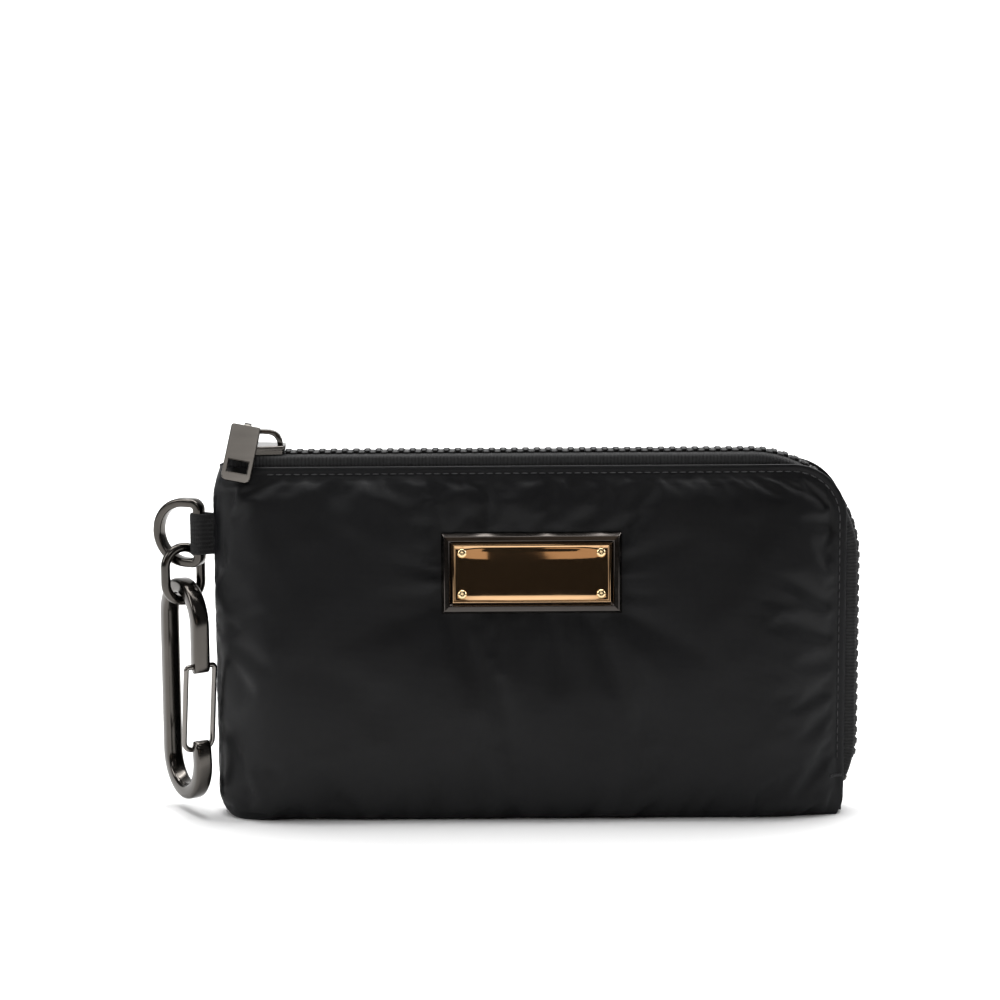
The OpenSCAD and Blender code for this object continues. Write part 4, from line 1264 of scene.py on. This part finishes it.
# %% Carabiner body
HOOK_R, HOOK_BAR, HOOK_T, HOOK_H, HOOK_Z = 13.7, 4.7, 5.2, 71.0, 4.102
PIVOT_H, NOSE_H = 45.0, 21.0
HOOK_TURN = Matrix.Translation((LINK_X, LINK_Y, 0)) @ Matrix.Rotation(math.radians(120), 4, "Z")
HOOK_MID = HOOK_R - HOOK_BAR / 2
nose_z = HOOK_Z + NOSE_H - HOOK_BAR / 2
arm_z = HOOK_Z + PIVOT_H
down = Matrix(((1, 0, 0, -HOOK_MID), (0, -1, 0, 0), (0, 0, -1, nose_z), (0, 0, 0, 1)))
hook = led_bar(
    lambda bm: flat_profile(bm, HOOK_BAR, HOOK_T, 1.15),
    [("lead", nose_z - HOOK_Z - HOOK_R), ("bend", 180, HOOK_MID), ("lead", HOOK_H - 2 * HOOK_R),
     ("bend", 180, HOOK_MID), ("lead", HOOK_Z + HOOK_H - HOOK_R - arm_z)],
    down, 14,
)
for edges in boundary_loops(hook):
    middle_z = sum(v.co.z for e in edges for v in e.verts) / (2 * len(edges))
    ahead = Vector((0, 0, -1 if middle_z > (nose_z + arm_z) / 2 else 1))
    round_end(hook, edges, ahead, Vector((1, 0, 0)), HOOK_BAR / 2 - 0.1)
for v in hook.verts:
    # the nose leans inwards over its last 8 mm
    rise = (v.co.z - HOOK_Z - 13.0) / 8.0
    if v.co.x < 0 and 0 < rise < 1.5:
        v.co.x += 1.0 * rise**2
finish_piece(
    "hook", hook, gunmetal, "carabiner", ["carabiner_body"], HOOK_TURN, sharp=50, merge=0.002,
)

# %% [markdown]
# ### Wire gate
# The gate is a narrow loop of spring wire, pinned in the body at its upper end. It leans a little, so
# that its lower end rests inside the nose.

# %% Wire gate
GATE_HALF, WIRE_R = 4.8, 0.85
pivot_p = -HOOK_R + HOOK_BAR / 2
gate_end_p = -HOOK_R + HOOK_BAR + WIRE_R + 0.15
gate_drop = PIVOT_H - (NOSE_H - 3.4)
gate_l = math.hypot(gate_end_p - pivot_p, gate_drop)
gate_lean = math.asin((gate_end_p - pivot_p) / gate_l)
GATE_TURN = HOOK_TURN @ Matrix.Translation((pivot_p, 0, arm_z)) @ Matrix.Rotation(-gate_lean, 4, "Y")
leg = Matrix(((0, 1, 0, 0), (1, 0, 0, -GATE_HALF), (0, 0, -1, -1.0), (0, 0, 0, 1)))
gate = led_bar(
    lambda bm: round_profile(bm, WIRE_R, 12),
    [("lead", gate_l - 4), ("bend", 90, 3.0), ("lead", 2 * GATE_HALF - 6), ("bend", 90, 3.0),
     ("lead", gate_l - 4), ("bend", 90, 1.0), ("lead", 2 * GATE_HALF - 2), ("bend", 90, 1.0)],
    GATE_TURN @ leg, 6,
)
finish_piece("gate", gate, gate_wire, "gate", ["carabiner_gate"], sharp=0, merge=0.02)

# %% [markdown]
# ## Slider and pull
# The slider is two plates with an outline like a shield, side walls that guide the rows, and an arch
# on top. Flat parts like these start as a polygon of vertices, become a face, and are extruded
# and bevelled.


# %% Plates from outlines
def plate(bm, outline, low, high, bevel=0.2, steps=2):
    """Extrude an outline between two heights and bevel its edges."""
    verts = [bm.verts.new((x, y, low)) for x, y in outline]
    bottom = bm.faces.new(verts)
    top = bmesh.ops.extrude_face_region(bm, geom=[bottom])["geom"]
    bmesh.ops.translate(bm, vec=(0, 0, high - low), verts=verts_of(top))
    if not bottom.is_valid:
        bm.faces.new(verts[::-1])
    all_verts = set(verts) | set(verts_of(top))
    if bevel:
        crisp = crisp_edges({e for v in all_verts for e in v.link_edges}, 25)
        round_edges(bm, crisp, bevel, steps, clamp=True)


def shield(half):
    """The slider's outline from above: broad at the wedge, narrower where the rows come out."""
    x0, x1, narrow = SLIDER_X, SLIDER_X + 15.5, half - 0.9
    return [
        (x0, -half + 1.4), (x0 + 0.4, -half + 0.4), (x0 + 1.4, -half), (SLIDER_X + 6, -half),
        (x1 - 1.4, -narrow),
        (x1 - 0.3, -narrow + 0.5), (x1, -narrow + 1.4), (x1, narrow - 1.4), (x1 - 0.3, narrow - 0.5),
        (x1 - 1.4, narrow), (SLIDER_X + 6, half), (x0 + 1.4, half), (x0 + 0.4, half - 0.4), (x0, half - 1.4),
    ]


# %% Slider body
PLATE_HIGH, PLATE_LOW, PLATE_THICK = 116.3, 113.1, 1.5
SLIDER_HALF = 5.15
slider = bmesh.new()
plate(slider, shield(SLIDER_HALF), PLATE_HIGH, PLATE_HIGH + PLATE_THICK, 0.55, 3)
plate(slider, shield(SLIDER_HALF), PLATE_LOW - PLATE_THICK, PLATE_LOW, 0.4, 2)
for side in (-1, 1):
    for low, high in ((PLATE_LOW - 0.3, 114.2), (115.2, PLATE_HIGH + 0.3)):
        wall = [(SLIDER_X + 0.6, 4.6), (SLIDER_X + 1.6, 5.12), (SLIDER_X + 6, 5.12), (SLIDER_X + 14.6, 4.2),
                (SLIDER_X + 14.9, 3.4), (SLIDER_X + 12, 3.2), (SLIDER_X + 6, 3.8), (SLIDER_X + 0.6, 4.4)]
        plate(slider, [(x, side * y) for x, y in wall], low, high, 0.12, 1)
plate(slider, [(SLIDER_X + 0.1, -0.5), (SLIDER_X + 1, -0.5), (SLIDER_X + 4.4, -0.1), (SLIDER_X + 4.4, 0.1),
               (SLIDER_X + 1, 0.5), (SLIDER_X + 0.1, 0.5)], PLATE_LOW - 0.2, PLATE_HIGH + 0.2, 0)
finish_piece(
    "slider_plates", slider, gunmetal, "slider", ["slider_body"], sharp=40, merge=0, flat=3,
)

# %% [markdown]
# ### Bridge
# The bridge is an arch that stands on the slider and holds the pull's eye. Seen from the side it is one
# outline, outer edge first and inner edge back, so it is a plate too, stood on its edge.

# %% Bridge
PLATE_TOP = 117.8
arch = [
    (0.5, -0.3), (0.5, 3.1), (0.75, 4.1), (1.6, 4.7), (4.5, 4.72), (8.5, 4.72), (10.8, 4.6), (12.4, 4.1),
    (13.6, 3.1), (14.3, 1.7), (14.7, -0.3), (13.0, -0.3), (12.7, 1.2), (12.1, 2.2), (11.3, 2.9), (10.2, 3.2),
    (8.4, 3.35), (2.1, 3.45), (1.6, 3.3), (1.5, 2.9), (1.5, -0.3),
]
bridge = bmesh.new()
plate(bridge, arch, -1.1, 1.1, 0.3, 3)
stand_up = Matrix.Translation((SLIDER_X, 0, PLATE_TOP)) @ Matrix.Rotation(math.radians(90), 4, "X")
finish_piece("bridge", bridge, gunmetal, "slider", ["slider_bridge"], stand_up, sharp=40, merge=0)

# %% [markdown]
# ### Pull
# The pull is a plain tab with a window near its end. We start it as three by three faces, take the
# window's face away, and thicken what is left. The rims round the window and the slot at the top
# are raised strips, made by insets. An eye behind it turns on the bridge.

# %% Pull blank
EYE_X, EYE_Z = -79.5, 121.9
PULL_FRONT, PULL_THICK = -4.8, 1.6
PULL_TURN = (Matrix.Translation((EYE_X, 0, EYE_Z)) @ Matrix.Rotation(math.radians(-22), 4, "X")
             @ Matrix.Rotation(math.radians(11), 4, "Y"))
columns, rows = (-4.6, -3.1, 3.1, 4.6), (-17.0, -14.3, -10.5, 0.9)
window_z = (rows[1] + rows[2]) / 2
pull = bmesh.new()
bmesh.ops.create_grid(pull, x_segments=3, y_segments=3, size=1.5)
for v in pull.verts:
    i, j = round(v.co.x + 1.5), round(v.co.y + 1.5)
    v.co = (columns[i], PULL_FRONT, rows[j])
window_middle = Vector((0, PULL_FRONT, window_z))
window = min(pull.faces, key=lambda f: (f.calc_center_median() - window_middle).length)
bmesh.ops.delete(pull, geom=[window], context="FACES_ONLY")
back_side = bmesh.ops.extrude_face_region(pull, geom=pull.faces[:])["geom"]
bmesh.ops.translate(pull, vec=(0, PULL_THICK, 0), verts=verts_of(back_side))
bmesh.ops.recalc_face_normals(pull, faces=pull.faces)
print("pull blank:", rows[-1] - rows[0], "mm long")


# %% Pull corners and edges
def pull_corners(low, high):
    """The tab's corner edges, front to back, between two heights."""
    return [e for e in pull.edges if abs(e.verts[0].co.y - e.verts[1].co.y) > 1
            and all(abs(v.co.x) > 4.5 and low < v.co.z < high for v in e.verts)]


round_edges(pull, pull_corners(-20, -16), 1.5, 2)
round_edges(pull, pull_corners(-0.5, 2), 0.8, 3)
round_edges(pull, crisp_edges(pull.edges, 40), 0.28, 3, clamp=True)
print("pull edges:", len(pull.edges))

# %% Raised rims
for wide, high, z, deep in ((7.5, 5.1, -12.4, 0.32), (3.6, 1.15, 0.05, 0.2)):
    strip = bmesh.ops.create_grid(pull, x_segments=1, y_segments=1, size=0.5)["verts"]
    for v in strip:
        v.co = (v.co.x * wide, PULL_FRONT + 0.05, z + v.co.y * high)
    face = strip[0].link_faces[0]
    pull.normal_update()
    if face.normal.y > 0:
        face.normal_flip()
        pull.normal_update()
    for width, rise in ((0.22, deep), (0.28, 0), (0.2, -0.5)):
        bmesh.ops.inset_region(pull, faces=[face], thickness=width, depth=rise)
    bmesh.ops.delete(pull, geom=[face], context="FACES_ONLY")
print("pull with rims:", len(pull.faces), "faces")

# %% Pull eye
EYE_R = 2.1
eye = bmesh.new()
ring_loop = flat_profile(eye, 1.0, 2.2, 0.3, 3)
on_side = Matrix(((0, 1, 0, 0), (0, 0, 1, 0), (1, 0, 0, EYE_R), (0, 0, 0, 1)))
bmesh.ops.transform(eye, matrix=on_side, verts=eye.verts)
bmesh.ops.spin(
    eye, geom=ring_loop, cent=(0, 0, 0), axis=(1, 0, 0), dvec=(0, 0, 0), angle=math.tau, steps=28,
    use_merge=True,
)
eye_mesh = bpy.data.meshes.new("eye")
eye.to_mesh(eye_mesh)
eye.free()
pull.from_mesh(eye_mesh)
bpy.data.meshes.remove(eye_mesh)
rounded_box(pull, (2.2, 2.3, 3.4), (0, -3.0, -0.7), 0.3, 2)
finish_piece(
    "pull", pull, gunmetal, "pull", ["pull_tab"], PULL_TURN, sharp=40, merge=0.002, flat=1.5,
)

# %% [markdown]
# ## Side loop
# A strip of webbing is sewn into the left seam and wraps the bar of the ring. Its path is seen from
# above: out from the seam, round the bar and back.

# %% Path of the loop
LOOP_R, LOOP_H = 2.38, 13.0
loop_path = [(-88.6, -0.62), (-89.6, -0.64), (-90.6, -0.72), (-91.5, -0.95), (-92.3, -1.35)]
loop_path += [(RING_X + LOOP_R * math.cos(math.radians(a)), LOOP_R * math.sin(math.radians(a)))
              for a in range(-48, -313, -12)]
loop_path += [(x, -y) for x, y in reversed(loop_path[:5])]
LOOP_ROWS = 10
print("loop path:", len(loop_path), "points")


# %% Side loop
def loop_point(i, j):
    """A place on the webbing, which draws in a little at its middle beside the seam."""
    x, y = loop_path[i]
    t = j / LOOP_ROWS
    drawn = 0.16 * math.sin(math.pi * t) if x > -92 else 0.0
    return Vector((x - drawn, y, RING_Z - LOOP_H / 2 + LOOP_H * t))


strap, _ = cloth_grid(loop_point, len(loop_path) - 1, LOOP_ROWS, lambda i, j: (j * 0.0013, i * 0.0006))
strap_piece = finish_piece("side_strap", strap, webbing, "pouch", ["side_loop"], sharp=0)
if strap_piece.data.polygons[len(strap_piece.data.polygons) // 2].normal.x > 0:
    strap_piece.data.flip_normals()
solid_cloth(strap_piece, 1.05, 0.0, 1)

# %% [markdown]
# ## Plaque
# The plaque is a cast frame with mitred slopes, a mirror-polished plate let into it, and four domed
# pins. Insets make the mitres: each one steps in and up or down from the last. The plate is left blank.

# %% Plaque frame
PLAQUE_TURN = (Matrix.Translation((PLAQUE_X, -half_depth(PLAQUE_Z), PLAQUE_Z))
               @ Matrix.Rotation(-math.atan(SLOPE), 4, "X") @ Matrix.Rotation(math.radians(90), 4, "X"))


def stepped_plate(wide, high, edge_z, low, steps, bevel):
    """A plate built outside in: each step is an inset's width and its rise."""
    bm = bmesh.new()
    bmesh.ops.create_grid(bm, x_segments=1, y_segments=1, size=0.5)
    for v in bm.verts:
        v.co = (v.co.x * wide, v.co.y * high, edge_z)
    face = bm.faces[:][0]
    if face.normal.z < 0:
        face.normal_flip()
    skirt = bmesh.ops.extrude_edge_only(bm, edges=bm.edges[:])["geom"]
    for v in verts_of(skirt):
        v.co.z = low
    for width, rise in steps:
        bmesh.ops.inset_region(bm, faces=[face], thickness=width, depth=rise, use_even_offset=True)
    bmesh.ops.recalc_face_normals(bm, faces=bm.faces)
    round_edges(bm, crisp_edges(bm.edges, 15), bevel, 2, clamp=True)
    return bm


plaque = stepped_plate(PLAQUE_W, PLAQUE_H, 0.8, 0.05, [(0.95, 1.15), (1.45, 0.1), (0.75, -1.1)], 0.14)
finish_piece(
    "plaque_rim", plaque, dark_gunmetal, "pouch", ["plaque_frame"], PLAQUE_TURN,
    sharp=30, merge=0, flat=4,
)

# %% [markdown]
# ### Plate
# A stamped plate is never quite flat: it crowns in the middle and falls away at its edges, most of all
# at the top. That small crown is what bends the room's reflection into the corners, so the broad face
# is cut into a fine grid and raised by a third of a millimetre.

# %% Plaque plate
PLATE_W, PLATE_H = 48.8, 18.2
CROWN, CROWN_X, CROWN_Y = 0.34, 23.4, 8.1
TOP_FALL, BOTTOM_FALL, END_FALL = 0.34, 0.07, 0.4
mirror_plate = stepped_plate(PLATE_W, PLATE_H, 1.42, 0.9, [(0.25, 0.2), (0.35, 0.0), (0.3, -0.16)], 0.06)
broad = max(mirror_plate.faces, key=lambda f: f.calc_area() * f.normal.z)
bmesh.ops.subdivide_edges(mirror_plate, edges=broad.edges[:], cuts=23, use_grid_fill=True)
for v in mirror_plate.verts:
    if v.co.z > 1.4 and abs(v.co.x) < CROWN_X and abs(v.co.y) < CROWN_Y:
        fall = (TOP_FALL if v.co.y > 0 else BOTTOM_FALL) * (v.co.y / CROWN_Y) ** 4
        v.co.z += CROWN - fall - END_FALL * abs(v.co.x / CROWN_X) ** 5 * (1 - fall)
finish_piece(
    "blank_plate", mirror_plate, gold_mirror, "pouch", ["plaque_plate"], PLAQUE_TURN,
    sharp=30, merge=0, flat=3,
)

# %% [markdown]
# ### Pins and backing
# Each pin is a low dome with a dimple from the tool that closed it. A squashed sphere has the dome's
# curve all round, so its highlight stays crisp. Inside the pouch the pins hold a plain steel plate.

# %% Pins
PIN_R, PIN_X, PIN_Y, PIN_Z = 1.5, 21.4, 6.4, 1.45
DIMPLE_R, DIMPLE_DEEP = 0.42, 0.3
pins = bmesh.new()
for sx in (-1, 1):
    for sz in (-1, 1):
        head = bmesh.ops.create_uvsphere(pins, u_segments=28, v_segments=16, radius=PIN_R)["verts"]
        bmesh.ops.scale(pins, vec=(1, 1, 0.62), verts=head)
        for v in head:
            v.co.z -= DIMPLE_DEEP * max(0.0, 1 - v.co.xy.length / DIMPLE_R) ** 0.5
        bmesh.ops.translate(pins, vec=(sx * PIN_X, sz * PIN_Y, PIN_Z), verts=head)
finish_piece("pins", pins, gold_pin, "pouch", ["plaque_pins"], PLAQUE_TURN, sharp=50, merge=0)

# %% Backing
backing = bmesh.new()
rounded_box(backing, (PLATE_W, 17.8, 0.5), (0, 0, -1.1), 0.12)
finish_piece(
    "backing", backing, sheet_steel, "pouch", ["plaque_backing_plate"], PLAQUE_TURN, merge=0,
)

# %% [markdown]
# ## Finish
# The last cell brings the scene up to date, and closes it.

# %% Finish
bpy.context.view_layer.update()
